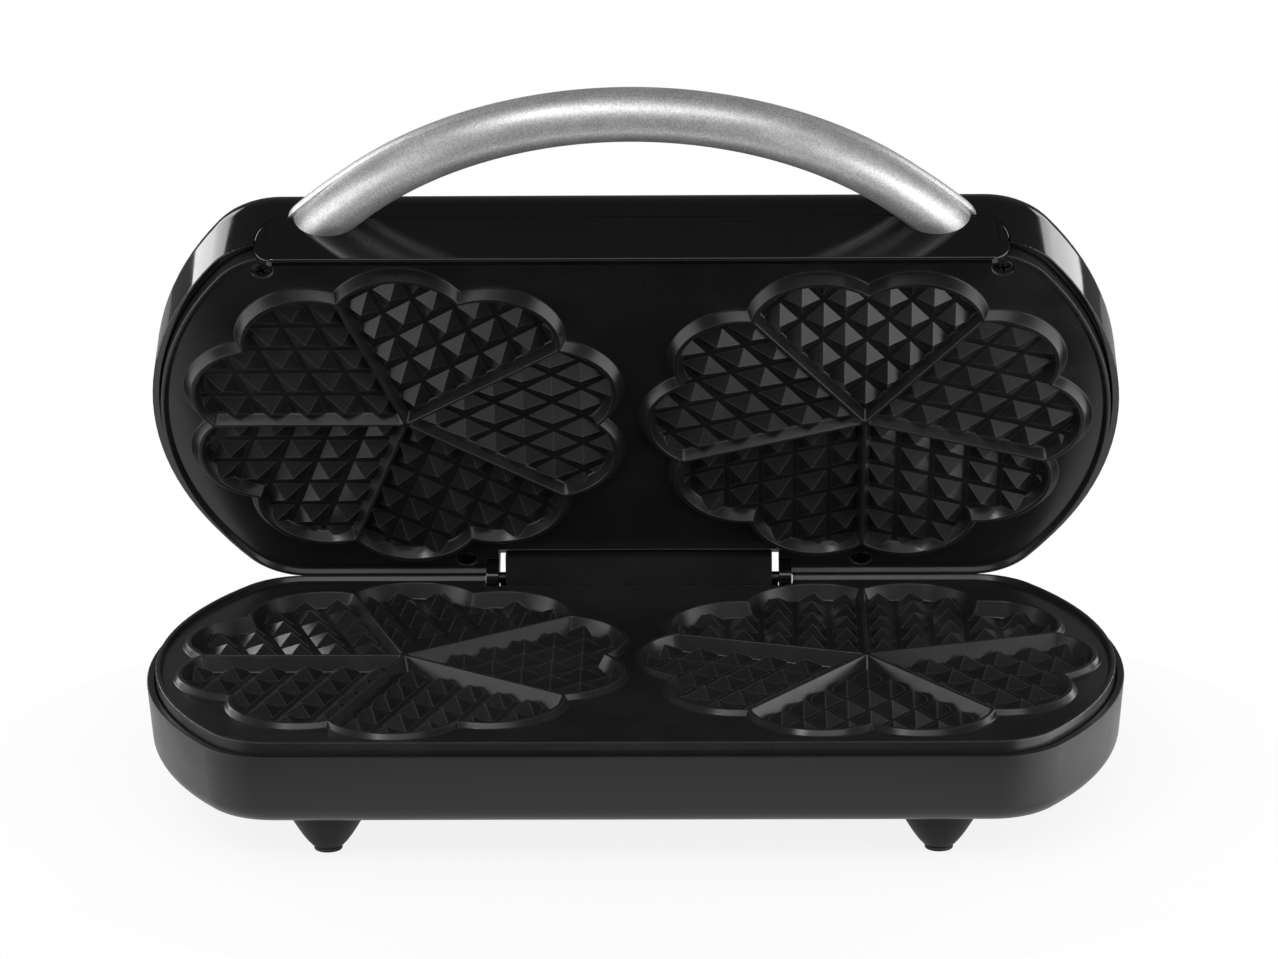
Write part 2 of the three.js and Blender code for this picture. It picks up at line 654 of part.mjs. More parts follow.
// Disc thermostat against the underside of the lower plate, with two terminal blades.
function thermostat() {
  const top = -SHEET - GAP;
  const [x, y] = [0, -58.6];
  const profile = [[0, top - 8], [6, top - 8], [6, top - 3], [8, top - 3], [8, top], [0, top]];
  const can = turned("z", profile, [x, y], 16);
  const blades = bothSides((span) => block(span(4, 13), [y - 3, y + 3], [top - 6.5, top - 5.5]));
  return union([can, ...blades]);
}

// A small sealed cartridge with a lead at each end, lying on a heat shield.
function thermalFuse(shieldZ) {
  const half = [[0, 16], [0.6, 16], [0.6, 8], [1.6, 7], [2.2, 6]];
  const mirrored = half.map(([radius, along]) => [radius, -along]);
  return turned("x", [...mirrored, ...half.reverse()], [-26, shieldZ + 2.2 + GAP]);
}

// Three-way terminal block on the base's floor, with a wire way and a clamp screw hole in each way.
function terminalBlock() {
  const floor = BASE_HOUSING.end + WALL + GAP;
  const ways = [-9, 0, 9];
  const towers = ways.map((x) => block([x - 3.4, x + 3.4], [53, 63], [floor, floor + 8]));
  return cut(union([block([-14, 14], [54.5, 61.5], [floor, floor + 5]), ...towers]), [
    ...ways.map((x) => rod("y", [50, 66], 1.6, [x, floor + 3], { sides: 6 })),
    ...ways.map((x) => rod("z", [floor + 3, floor + 9], 1.3, [x, 58], { sides: 6 })),
  ]);
}

// Snap-in bushing in the rear wall of the base.
const cordGland = () =>
  turned("y", [
    [3.2, 81.5], [6.2, 81.5], [6.2, 84.4], [GLAND_RADIUS, 84.4], [GLAND_RADIUS, 90],
    [7, 90], [7, 91.6], [5.2, 93], [3.2, 93], [3.2, 81.5],
  ], [0, GLAND_Z]);

// A round lens in the lid's top, held by a flange inside.
function pilotLens(side) {
  const top = LID_HOUSING.end;
  return turned("z", [
    [0, top - 1.3], [2, top - 1.1], [LENS_RADIUS, top - 0.2], [LENS_RADIUS, top + WALL + GAP],
    [5, top + WALL + GAP], [5, top + WALL + 1.5], [0, top + WALL + 1.5],
  ], [side * LENS_X, LENS_Y]);
}

// ---- Assembly ----

function baseGroup() {
  const group = new THREE.Group();
  group.add(
    piece("base_shell", baseShell(), SATIN_BLACK),
    piece("lower_plate", lowerPlate(), NON_STICK),
    piece("lower_heater", heater(LOWER_SHIELD + GAP + TUBE_RADIUS), DARK_STEEL),
    piece("lower_heat_shield", heatShield(LOWER_SHIELD), SHEET_METAL),
    piece("thermostat", thermostat(), CERAMIC),
    piece("lower_thermal_fuse", thermalFuse(LOWER_SHIELD), STEEL),
    piece("terminal_block", terminalBlock(), CERAMIC),
    piece("cord_gland", cordGland(), RUBBER),
  );
  for (const [side, name] of [[-1, "left"], [1, "right"]]) {
    const span = side < 0 ? [-PIN_OUTER, -PIN_INNER] : [PIN_INNER, PIN_OUTER];
    group.add(piece("hinge_pin_" + name, rod("x", span, PIN_RADIUS, [HINGE_Y, HINGE_Z]), STEEL));
  }
  for (const [corner, at] of Object.entries(FEET)) {
    group.add(piece("foot_" + corner, foot(at), SATIN_BLACK));
    group.add(piece("foot_pad_" + corner, footPad(at), RUBBER));
  }
  for (const [corner, at] of Object.entries(LOWER_SCREWS)) {
    group.add(piece("base_screw_" + corner, lowerScrew(at), STEEL));
  }
  group.position.z = LAND_HEIGHT;
  return group;
}

function lidGroup() {
  const closed = new THREE.Group();
  closed.add(
    piece("lid_shell", lidShell(), GLOSS_BLACK),
    piece("upper_plate", upperPlate(), NON_STICK),
    piece("upper_heater", heater(UPPER_SHIELD + GAP + TUBE_RADIUS), DARK_STEEL),
    piece("upper_heat_shield", heatShield(UPPER_SHIELD), SHEET_METAL),
    piece("upper_thermal_fuse", thermalFuse(UPPER_SHIELD), STEEL),
    piece("handle_carrier", handleCarrier(), GLOSS_BLACK),
    piece("handle_front", handleFront(), SILVER_PAINT),
    piece("handle_rear", handleRear(), SILVER_PAINT),
    piece("handle_screw_left", handleScrew(-1), STEEL),
    piece("handle_screw_right", handleScrew(1), STEEL),
    piece("power_lens", pilotLens(-1), RED_LENS),
    piece("ready_lens", pilotLens(1), GREEN_LENS),
  );
  for (const [corner, at] of Object.entries(UPPER_SCREWS)) {
    closed.add(piece("plate_screw_" + corner, countersunkScrew(at), DARK_STEEL));
  }
  closed.rotation.x = PI;
  closed.position.set(0, -HINGE_Y, MOUTH - HINGE_Z);
  const hinged = new THREE.Group();
  hinged.add(closed);
  hinged.position.set(0, HINGE_Y, LAND_HEIGHT + HINGE_Z);
  hinged.rotation.x = -OPEN_ANGLE;
  return hinged;
}

const group = new THREE.Group();
group.add(baseGroup(), lidGroup());
group.position.y = -DEPTH_CENTRE;

export default group;
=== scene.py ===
import json
from math import asin, atan2, cos, degrees, pi, radians, sin, sqrt, tan

import bmesh
import bpy
from mathutils import Matrix, Vector


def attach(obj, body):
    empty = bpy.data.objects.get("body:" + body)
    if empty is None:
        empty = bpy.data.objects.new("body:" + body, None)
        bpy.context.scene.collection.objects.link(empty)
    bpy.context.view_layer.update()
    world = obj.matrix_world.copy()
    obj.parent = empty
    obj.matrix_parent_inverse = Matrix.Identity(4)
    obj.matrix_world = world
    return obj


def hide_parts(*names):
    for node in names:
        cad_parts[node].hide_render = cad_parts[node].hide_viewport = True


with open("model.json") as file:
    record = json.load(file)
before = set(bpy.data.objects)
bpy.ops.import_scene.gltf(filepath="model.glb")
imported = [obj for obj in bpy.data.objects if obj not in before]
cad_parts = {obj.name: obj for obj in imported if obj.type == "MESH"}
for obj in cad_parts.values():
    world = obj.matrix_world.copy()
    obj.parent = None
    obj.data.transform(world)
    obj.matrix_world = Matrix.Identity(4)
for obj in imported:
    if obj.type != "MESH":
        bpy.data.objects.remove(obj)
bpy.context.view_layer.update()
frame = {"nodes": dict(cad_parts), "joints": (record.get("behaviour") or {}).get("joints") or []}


# ---- Base shell ----
# The lower half of the housing is one injection moulding in dark grey plastic with a fine satin
# grain. Its walls draw in towards a rounded floor, the rim is eased, and the middle of its rear edge
# rises into the block that carries the hinge pins.

# Pieces are drawn in millimetres over the middle of the lower plate's flat land, and then settled.
HINGE = Vector((0, 84.5, 1.5))
HINGE_AT = Vector(frame["joints"][0]["pos_m"])
BASE_RIM, BASE_FLOOR, WALL = -2.4, -27.0, 2.6
TOWER_HALF, TOWER_RADIUS = 47.9, 10.0
TOWER_FRONT, TOWER_REAR, TOWER_FOOT = -4.5, 5.6, -10.4
PIN_HOLE_RADIUS = 2.15
BASE_SCREWS = [(-124, -76), (124, -76), (-124, 76), (124, 76)]
FEET = [(-102.5, -65), (102.5, -65), (-102.5, 65), (102.5, 65)]
# How near two places are when they count as one, and when their points are merged.
NEAR, MERGE = 0.01, 0.002
# How a piece that is drawn upright turns to lie along an axis.
ALONG = {"x": (0, pi / 2, 0), "y": (-pi / 2, 0, 0), "z": (0, 0, 0)}


def alone(piece):
    """Makes a piece the only one selected, and the active one."""
    bpy.ops.object.select_all(action="DESELECT")
    piece.select_set(True)
    bpy.context.view_layer.objects.active = piece


def begin(name, primitive, **size):
    """Adds a primitive at its size and place and opens it in edit mode, all selected."""
    bpy.ops.object.select_all(action="DESELECT")
    primitive(**size)
    piece = bpy.context.object
    piece.name = piece.data.name = name
    bpy.ops.object.mode_set(mode="EDIT")
    bpy.context.tool_settings.mesh_select_mode = (True, False, False)
    bpy.ops.mesh.select_all(action="SELECT")
    return piece


def end_edit():
    """Leaves edit mode and puts the piece's place in its mesh."""
    bpy.ops.object.mode_set(mode="OBJECT")
    bpy.ops.object.transform_apply(location=True, rotation=True, scale=True)
    return bpy.context.object


def pick(kind, test):
    """Selects only the faces, edges or points of which every corner passes the test."""
    bpy.context.tool_settings.mesh_select_mode = (kind == "verts", kind == "edges", kind == "faces")
    bpy.ops.mesh.select_all(action="DESELECT")
    mesh = bmesh.from_edit_mesh(bpy.context.object.data)
    for part in getattr(mesh, kind):
        corners = [part] if kind == "verts" else part.verts
        part.select_set(all(test(corner.co) for corner in corners))
    bmesh.update_edit_mesh(bpy.context.object.data)


def round_off(width, steps):
    bpy.ops.mesh.bevel(offset=width, segments=steps, profile=0.5, affect="EDGES")


def round_ring(z, width, steps):
    """Rounds the edges that run round the piece at one height."""
    pick("edges", lambda co: abs(co.z - z) < NEAR)
    round_off(width, steps)


def step_in(width, depth=0.0):
    """Insets the selected faces by a width, and moves them along their normal."""
    bpy.ops.mesh.inset(thickness=width, depth=depth, use_even_offset=True)


def pull(offset):
    """Extrudes what is selected by an offset."""
    bpy.ops.mesh.extrude_region_move(TRANSFORM_OT_translate={"value": offset})


def face_out():
    """Turns every face of the piece outwards."""
    bpy.ops.mesh.select_all(action="SELECT")
    bpy.ops.mesh.normals_make_consistent(inside=False)


def trace(name, start, moves, axis=(0, 0, 1), close=True):
    """Draws an outline corner by corner and fills it. A move is a point to go straight to, or an
    arc: (centre, turn in degrees about the axis, steps)."""
    piece = begin(name, bpy.ops.mesh.primitive_plane_add, size=1)
    bpy.ops.mesh.merge(type="CENTER")
    bpy.ops.transform.translate(value=start)
    for move in moves:
        if isinstance(move[0], (tuple, Vector)):
            centre, turn, steps = move
            bpy.ops.mesh.spin(steps=steps, angle=-radians(turn), center=centre, axis=axis)
        else:
            corners = bmesh.from_edit_mesh(piece.data).verts
            here = next(corner.co.copy() for corner in corners if corner.select)
            bpy.ops.mesh.extrude_vertices_move(TRANSFORM_OT_translate={"value": Vector(move) - here})
    if close:
        bpy.ops.mesh.select_all(action="SELECT")
        bpy.ops.mesh.remove_doubles(threshold=MERGE)
        bpy.ops.mesh.edge_face_add()


def face_up(way=1):
    """Turns a filled outline so that its front faces up, or down."""
    mesh = bmesh.from_edit_mesh(bpy.context.object.data)
    mesh.normal_update()
    mesh.faces.ensure_lookup_table()
    if mesh.faces[0].normal.z * way < 0:
        bpy.ops.mesh.flip_normals()


def face_down():
    face_up(-1)


def plan_outline(name, grow, z, up=True):
    """The plan of plates and housing: straight front and rear, corner arcs and flatter ends."""
    end_x, corner_x, corner_y = 37.2, 118.95, 61.0
    meet = atan2(corner_y, corner_x - end_x)
    turn, corner, radius, half = degrees(2 * meet), 90 - degrees(meet), 128 + grow, 87 + grow
    trace(name, (end_x + radius * cos(meet), -radius * sin(meet), z), [
        ((end_x, 0, z), turn, 28),
        ((corner_x, corner_y, z), corner, 14),
        (-corner_x, half, z),
        ((-corner_x, corner_y, z), corner, 14),
        ((-end_x, 0, z), turn, 28),
        ((-corner_x, -corner_y, z), corner, 14),
        (corner_x, -half, z),
        ((corner_x, -corner_y, z), corner, 14),
    ])
    face_up() if up else face_down()


def close_up():
    """Fills the piece's open edge with a face, which is left selected."""
    bpy.context.tool_settings.mesh_select_mode = (False, True, False)
    bpy.ops.mesh.select_all(action="DESELECT")
    bpy.ops.mesh.select_non_manifold()
    bpy.ops.mesh.edge_face_add()


def housing(name, rim, floor, draft, rounding, inner_rounding):
    """One housing half: outer wall with its draft in degrees, closed face and steeper inner wall."""
    height, grow, rim_ease, inner_share = rim - floor, 3.1, 0.45, 0.8
    plan_outline(name, grow, rim, up=False)
    step_in(height * tan(radians(draft)), height)
    round_ring(floor, rounding, 10)
    close_up()
    step_in(WALL)
    step_in((height - WALL) * tan(radians(draft)) * inner_share, WALL - height)
    round_ring(floor + WALL, inner_rounding, 3)
    round_ring(rim, rim_ease, 3)
    return end_edit()


def block(name, low, high):
    """A block between two corners."""
    middle = [(a + b) / 2 for a, b in zip(low, high)]
    begin(name, bpy.ops.mesh.primitive_cube_add, size=1, location=middle)
    bpy.ops.transform.resize(value=[b - a for a, b in zip(low, high)], center_override=middle)
    return end_edit()


def on_axis(axis, along, at):
    """The place at a distance along an axis; at holds its two other coordinates."""
    return {"x": (along, *at), "y": (at[0], along, at[1]), "z": (*at, along)}[axis]


def bar(name, axis, span, radius, at, sides=40):
    """A round bar between two places along an axis."""
    begin(name, bpy.ops.mesh.primitive_cylinder_add, vertices=sides, radius=radius, depth=span[1] - span[0],
          location=on_axis(axis, (span[0] + span[1]) / 2, at), rotation=ALONG[axis])
    return end_edit()


def join(pieces):
    """Makes one object of several that don't meet."""
    bpy.ops.object.select_all(action="DESELECT")
    for piece in pieces:
        piece.select_set(True)
    bpy.context.view_layer.objects.active = pieces[0]
    bpy.ops.object.join()
    return pieces[0]


def combine(piece, tools, operation="DIFFERENCE"):
    """Cuts the tools from a piece, or joins them to it; the tools are used up."""
    tool = join(tools) if len(tools) > 1 else tools[0]
    alone(piece)
    bpy.ops.object.modifier_add(type="BOOLEAN")
    step = piece.modifiers[-1]
    step.operation, step.solver, step.object = operation, "EXACT", tool
    bpy.ops.object.modifier_apply(modifier=step.name)
    bpy.data.objects.remove(tool)
    return piece


def settle(piece, body, angle):
    """Takes a piece from millimetres to its place on the base, or on the lid as it stands open.
    Turns gentler than the angle are then shaded smooth, with flat faces kept flat beside them."""
    alone(piece)
    turn, axis = Matrix.Identity(3), HINGE
    if body == "lid":
        turn, axis = Matrix.Rotation(pi + radians(frame["joints"][0]["range_deg"][0]), 3, "X"), LID_HINGE
    place = HINGE_AT - turn @ axis * 0.001
    piece.matrix_world = Matrix.Translation(place) @ turn.to_4x4() @ Matrix.Scale(0.001, 4)
    bpy.ops.object.transform_apply(location=True, rotation=True, scale=True)
    bpy.ops.object.shade_smooth_by_angle(angle=radians(angle), keep_sharp_edges=False)
    bpy.ops.object.modifier_add(type="WEIGHTED_NORMAL")
    piece.modifiers[-1].keep_sharp = True
    bpy.ops.object.modifier_apply(modifier=piece.modifiers[-1].name)
    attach(piece, body)


def node(tree, kind, inputs=None, **settings):
    """Adds a node; an input is a plain value or another node's output."""
    made = tree.nodes.new(kind)
    for key, value in settings.items():
        setattr(made, key, value)
    for key, value in (inputs or {}).items():
        if isinstance(value, bpy.types.NodeSocket):
            tree.links.new(value, made.inputs[key])
        else:
            made.inputs[key].default_value = value
    return made


def effect(name, inputs, outputs):
    """Starts a shared effect: returns its tree, and the sockets that it is given and that it fills."""
    tree = bpy.data.node_groups.new(name, "ShaderNodeTree")
    for label, kind in inputs:
        tree.interface.new_socket(label, in_out="INPUT", socket_type=kind)
    for label, kind in outputs:
        tree.interface.new_socket(label, in_out="OUTPUT", socket_type=kind)
    return tree, tree.nodes.new("NodeGroupInput").outputs, tree.nodes.new("NodeGroupOutput").inputs


def texture_effect(name, output):
    """Starts an effect that is laid over a surface, with the texture scale that its Size asks for."""
    tree, given, filled = effect(name, [("Vector", "NodeSocketVector"), ("Size", "NodeSocketFloat")],
                                 [(output, "NodeSocketFloat")])
    scale = node(tree, "ShaderNodeMath", {0: 1.0, 1: given["Size"]}, operation="DIVIDE").outputs[0]
    return tree, given, filled, scale


def grain_effect():
    """Fine even pebble of a moulded or sprayed surface, as a height from 0 to 1."""
    tree, given, filled, scale = texture_effect("fine_grain", "Height")
    pebble = node(tree, "ShaderNodeTexNoise", {
        "Vector": given["Vector"], "Scale": scale, "Detail": 2.0, "Roughness": 0.6})
    tree.links.new(pebble.outputs["Fac"], filled["Height"])
    return tree


def patches_effect():
    """Broad soft patches, as where hands and cloths have polished a surface, from 0 to 1."""
    tree, given, filled, scale = texture_effect("soft_patches", "Mask")
    cloud = node(tree, "ShaderNodeTexNoise", {
        "Vector": given["Vector"], "Scale": scale, "Detail": 4.0, "Roughness": 0.55, "Distortion": 0.6})
    mask = node(tree, "ShaderNodeMapRange", {
        "Value": cloud.outputs["Fac"], "From Min": 0.35, "From Max": 0.68}, interpolation_type="SMOOTHSTEP")
    tree.links.new(mask.outputs["Result"], filled["Mask"])
    return tree


GRAIN, PATCHES = grain_effect(), patches_effect()


def use(tree, group, **inputs):
    """Places a shared effect in a material, with its own values."""
    return node(tree, "ShaderNodeGroup", inputs, node_tree=group).outputs[0]


def mix(tree, factor, first, second, blend_type="MIX"):
    """Mixes two colours by a factor."""
    return node(tree, "ShaderNodeMix", {0: factor, 6: first, 7: second},
                data_type="RGBA", blend_type=blend_type).outputs[2]


def finish_of(name, dark, light, roughness, grain, relief, patches=0.03, metallic=0.0, **shader):
    """A finish: two close tones in soft patches, roughness that follows them, and a fine grain. The
    sizes of the patches and of the grain, and its relief, are in metres."""
    made = bpy.data.materials.new(name)
    made.use_nodes = True
    tree = made.node_tree
    surface = tree.nodes["Principled BSDF"]
    where = node(tree, "ShaderNodeTexCoord").outputs["Object"]
    patch = use(tree, PATCHES, Vector=where, Size=patches)
    pebble = use(tree, GRAIN, Vector=where, Size=grain)
    tree.links.new(mix(tree, patch, (*dark, 1), (*light, 1)), surface.inputs["Base Color"])
    rough = node(tree, "ShaderNodeMapRange", {
        "Value": patch, "To Min": roughness[0], "To Max": roughness[1]})
    tree.links.new(rough.outputs["Result"], surface.inputs["Roughness"])
    bump = node(tree, "ShaderNodeBump", {"Height": pebble, "Distance": relief, "Strength": 1.0})
    tree.links.new(bump.outputs["Normal"], surface.inputs["Normal"])
    surface.inputs["Metallic"].default_value = metallic
    for key, value in shader.items():
        surface.inputs[key.replace("_", " ")].default_value = value
    return made


def paint(piece, material):
    piece.data.materials.clear()
    piece.data.materials.append(material)


satin_plastic = finish_of("satin_base_plastic", (0.0062, 0.006, 0.0061), (0.0082, 0.008, 0.0081),
                          roughness=(0.38, 0.45), grain=0.00045, relief=0.00002)

base_housing = housing("base_housing", BASE_RIM, BASE_FLOOR, draft=4.5, rounding=6, inner_rounding=3.4)

# The tower's rear is upright, and its top curves about the hinge down to its front.
crown = sqrt(TOWER_RADIUS ** 2 - TOWER_REAR ** 2)
sweep = degrees(atan2(sqrt(TOWER_RADIUS ** 2 - TOWER_FRONT ** 2), TOWER_FRONT) - atan2(crown, TOWER_REAR))
trace("tower", HINGE + Vector((-TOWER_HALF, TOWER_FRONT, TOWER_FOOT)), [
    HINGE + Vector((-TOWER_HALF, TOWER_REAR, TOWER_FOOT)),
    HINGE + Vector((-TOWER_HALF, TOWER_REAR, crown)),
    (HINGE - Vector((TOWER_HALF, 0, 0)), sweep, 16),
], axis=(1, 0, 0))
pull((2 * TOWER_HALF, 0, 0))
face_out()
for side in (-TOWER_HALF, TOWER_HALF):
    pick("edges", lambda co: abs(co.x - side) < NEAR)
    round_off(0.7, 3)
tower = end_edit()

# Shelves and webs brace the rear wall beside the tower, and bosses take the plate's screws.
shelves = [block("shelf", (x, 79.8, -8.6), (x + 10.5, 88, -6)) for x in (45.7, -56.2)]
webs = [block("web", (x, 85.9, -8), (x + 4.2, 88.3, -0.8)) for x in (46, -50.2)]
bosses = [bar("boss", "z", (BASE_FLOOR + 0.5, -12.3), 5, at) for at in BASE_SCREWS]
combine(base_housing, [tower], "UNION")
combine(base_housing, shelves + bosses, "UNION")
combine(base_housing, webs, "UNION")
combine(base_housing, [
    *[block("ear_notch", (x, 80, -6), (x + 5, 100, 20)) for x in (50.2, -55.2)],
    *[bar("pin_hole", "x", (x, x + 7.8), PIN_HOLE_RADIUS, HINGE.yz) for x in (40.5, -48.3)],
    *[bar("screw_well", "z", (BASE_FLOOR - 1, -17), 3.8, at) for at in BASE_SCREWS],
    *[bar("foot_hole", "z", (BASE_FLOOR - 1, BASE_FLOOR + 3.6), 4.3, at) for at in FEET],
    bar("gland_hole", "y", (80, 95), 5.1, (0, -15.5)),
])
settle(base_housing, "base", 25)
paint(base_housing, satin_plastic)
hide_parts("base_shell")


# ---- Feet and pads ----
# Four round feet of the same plastic swell in a convex curve from the table to a shoulder under the
# shell, and snap into its floor with a spigot. A soft black rubber pad is pressed into each.

FOOT_SHOULDER = BASE_FLOOR - 0.3
TABLE = -44.0
CORNERS = ["front_left", "front_right", "rear_left", "rear_right"]


def turned(name, profile, at=(0, 0), axis="z", sides=48):
    """A turned piece: (radius, distance along the axis) pairs, spun once round."""
    points = [(radius, 0, height) for radius, height in profile]
    trace(name, points[0], points[1:], close=False)
    bpy.ops.mesh.select_all(action="SELECT")
    bpy.ops.mesh.spin(steps=sides, angle=2 * pi, center=(0, 0, 0), axis=(0, 0, 1))
    bpy.ops.mesh.select_all(action="SELECT")
    bpy.ops.mesh.remove_doubles(threshold=MERGE)
    face_out()
    piece = end_edit()
    piece.rotation_euler, piece.location = ALONG[axis], on_axis(axis, 0, at)
    bpy.ops.object.transform_apply(location=True, rotation=True, scale=True)
    return piece


def twin(piece, name, offset=(0, 0, 0), turn=0.0):
    """A copy with its own mesh, turned about the upright line through the middle and moved."""
    made = piece.copy()
    made.data = piece.data.copy()
    made.name = made.data.name = name
    bpy.context.collection.objects.link(made)
    alone(made)
    made.rotation_euler.z, made.location = turn, offset
    bpy.ops.object.transform_apply(location=True, rotation=True, scale=True)
    return made


def arc(centre, radius, start, end, steps):
    """Points of a profile's rounded edge, by angle in degrees from the outward direction."""
    angles = [radians(start + (end - start) * i / steps) for i in range(steps + 1)]
    return [(centre[0] + radius * cos(angle), centre[1] + radius * sin(angle)) for angle in angles]


foot = turned("foot", [
    (0, -38.9), (2.3, -38.9), (2.3, -42.3), *arc((4.9, -41.4), 0.9, -90, -38, 3),
    (6.9, -40.5), (8.3, -38.6), (9.6, -36.6), (10.8, -34.6), (11.8, -32.9), (12.6, -31.3), (13.25, -29.9),
    *arc((12.9, -28.4), 1.1, -25, 90, 6), (4, FOOT_SHOULDER), (4, -23.6), (3.4, -22.9), (0, -22.9),
])
pad = turned("pad", [
    (0, TABLE + 0.25), (2.2, TABLE + 0.25), (2.5, TABLE), (4.4, TABLE),
    *arc((4.4, TABLE + 0.4), 0.4, -60, 0, 3), (4.8, TABLE + 1.3), (4.5, TABLE + 1.4), (2, TABLE + 1.4),
    (2, TABLE + 4.2), (1.6, TABLE + 4.5), (0, TABLE + 4.5),
], sides=32)
rubber = finish_of("black_rubber", (0.012, 0.012, 0.012), (0.02, 0.0195, 0.019),
                   roughness=(0.72, 0.85), grain=0.0004, relief=0.00004)
foot_plastic = finish_of("foot_plastic", (0.0062, 0.006, 0.0061), (0.0082, 0.008, 0.0081),
                         roughness=(0.5, 0.58), grain=0.00045, relief=0.00002, Specular_IOR_Level=0.16)
for corner, (x, y) in zip(CORNERS, FEET):
    made = twin(foot, "round_foot_" + corner, (x, y, 0))
    settle(made, "base", 40)
    paint(made, foot_plastic)
    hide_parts("foot_" + corner)
    made = twin(pad, "rubber_pad_" + corner, (x, y, 0))
    settle(made, "base", 40)
    paint(made, rubber)
    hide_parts("foot_pad_" + corner)
bpy.data.objects.remove(foot)
bpy.data.objects.remove(pad)


# ---- Heater, shield and wiring inside the base ----
# A bent heating tube in dull heat-stained steel lies under the lower plate, over a bright tray of
# thin sheet. The thermostat, the fuse and a white ceramic terminal block sit beside them.

heater_steel = finish_of("heat_stained_steel", (0.16, 0.15, 0.145), (0.3, 0.27, 0.24),
                         roughness=(0.42, 0.6), grain=0.0006, relief=0.00003, patches=0.012, metallic=1.0)
bright_sheet = finish_of("bright_sheet", (0.55, 0.555, 0.56), (0.66, 0.665, 0.67),
                         roughness=(0.26, 0.38), grain=0.0009, relief=0.00001, patches=0.02, metallic=1.0)
ceramic = finish_of("white_ceramic", (0.7, 0.67, 0.6), (0.78, 0.76, 0.7),
                    roughness=(0.5, 0.62), grain=0.0005, relief=0.00002)
steel = finish_of("plain_steel", (0.32, 0.325, 0.33), (0.42, 0.425, 0.43),
                  roughness=(0.3, 0.42), grain=0.0004, relief=0.00001, patches=0.004, metallic=1.0)
for name, material in [("lower_heater", heater_steel), ("lower_heat_shield", bright_sheet),
                       ("thermostat", bright_sheet), ("lower_thermal_fuse", ceramic),
                       ("terminal_block", ceramic)]:
    paint(frame["nodes"][name], material)


# ---- Lower baking plate ----
# A die-cast aluminium plate with two pockets of five hearts, under a dark satin non-stick coating.
# Thin dividers part the hearts, whose floors carry small four-sided pyramids, and a low lip runs round
# the edge. It is cut away behind for the hinge, and screwed to the base from below.

POCKET_X = 79.9
SECTOR = 72
LOBE_CENTRE, LOBE_RADIUS, NOTCH = 54.0, 25.02, 70.0
# The lobes' mean reach, from the middle of a pocket, and the furthest that a pyramid may stand.
MEAN_REACH, FIELD_REACH = 79, 84
ROW_PITCH, COLUMN_PITCH, FIRST_ROW = 10.2, 14.95, 61.3
LIP_HEIGHT, LIP_TOP, LIP_SLOPE = 1.8, 1.4, 1.0
SHEET, SKIRT = 3.5, 6.0


def pick_sharp(angle, test):
    """Selects the edges that turn by more than an angle and whose lower and higher ends pass the test."""
    bpy.context.tool_settings.mesh_select_mode = (False, True, False)
    bpy.ops.mesh.select_all(action="DESELECT")
    mesh = bmesh.from_edit_mesh(bpy.context.object.data)
    mesh.normal_update()
    for edge in mesh.edges:
        ends = sorted((corner.co for corner in edge.verts), key=lambda co: co.z)
        edge.select_set(edge.calc_face_angle(0) > radians(angle) and test(*ends))
    bmesh.update_edit_mesh(bpy.context.object.data)


def heading(angle):
    """The level direction at an angle in degrees from +X."""
    return Vector((cos(radians(angle)), sin(radians(angle)), 0))


def waffle_boss(name, x, turn, foot, crest_edge, crest, underside):
    """The raised disc with ten lobes that the hearts are cut from. Foot and crest edge are the scales
    of its outline where the wall leaves the land and where it meets the crest, both eased."""
    foot_radius, crest_radius, run = 0.9, 0.45, (foot - crest_edge) * MEAN_REACH
    lean = atan2(crest, run)
    foot_ease, crest_ease = foot_radius * tan(lean / 2), crest_radius * tan(lean / 2)
    profile = [(foot_ease, underside)]
    for i in range(7):
        swing = lean * i / 6
        profile.append((foot_ease - foot_radius * sin(swing), foot_radius * (1 - cos(swing)) - 0.01))
    for i in range(5):
        swing = lean * (1 - i / 4)
        profile.append((-run + crest_radius * sin(swing) - crest_ease,
                        crest - crest_radius * (1 - cos(swing))))
    scales = [foot + out / MEAN_REACH for out, _ in profile]
    start = Vector((x, 0, underside))
    half = degrees(atan2(NOTCH * sin(pi / 10), NOTCH * cos(pi / 10) - LOBE_CENTRE))
    trace(name, start + scales[0] * NOTCH * heading(turn), [
        (start + scales[0] * LOBE_CENTRE * heading(turn + 18 + 36 * i), 2 * half, 18) for i in range(10)])
    steps = list(zip(scales, profile))
    for (scale, (_, z)), (last, (_, below)) in zip(steps[1:], steps):
        pull((0, 0, z - below))
        bpy.ops.transform.resize(value=(scale / last, scale / last, 1), center_override=(x, 0, z))
    face_out()
    return end_edit()


def pyramid_field(name, floor):
    """The staggered pyramids of the heart that points along +X, with crisp ridges and a foot that runs on
    below the floor.
    """
    height, along, across, ridge, root = 3.7, 8.36, 6.13, 0.14, 0.6
    begin(name, bpy.ops.mesh.primitive_cone_add, vertices=4, radius1=1, depth=height,
          location=(0, 0, height / 2))
    bpy.ops.transform.resize(value=(along, across, 1), center_override=(0, 0, 0))
    pick_sharp(20, lambda low, high: high.z > height - NEAR)
    round_off(ridge, 2)
    pick("faces", lambda co: co.z < NEAR)
    pull((0, 0, -root))
    pyramid = end_edit()
    pyramids = []
    for row in range(7):
        x, shift = FIRST_ROW + ROW_PITCH * (1 - row), COLUMN_PITCH / 2 if row % 2 else 0
        for column in range(-4, 4):
            y = column * COLUMN_PITCH + shift
            if abs(y) < x * tan(radians(SECTOR / 2)) + 8 and x * x + y * y < FIELD_REACH ** 2:
                pyramids.append(twin(pyramid, "pyramid", (x, y, floor)))
    bpy.data.objects.remove(pyramid)
    return join(pyramids)


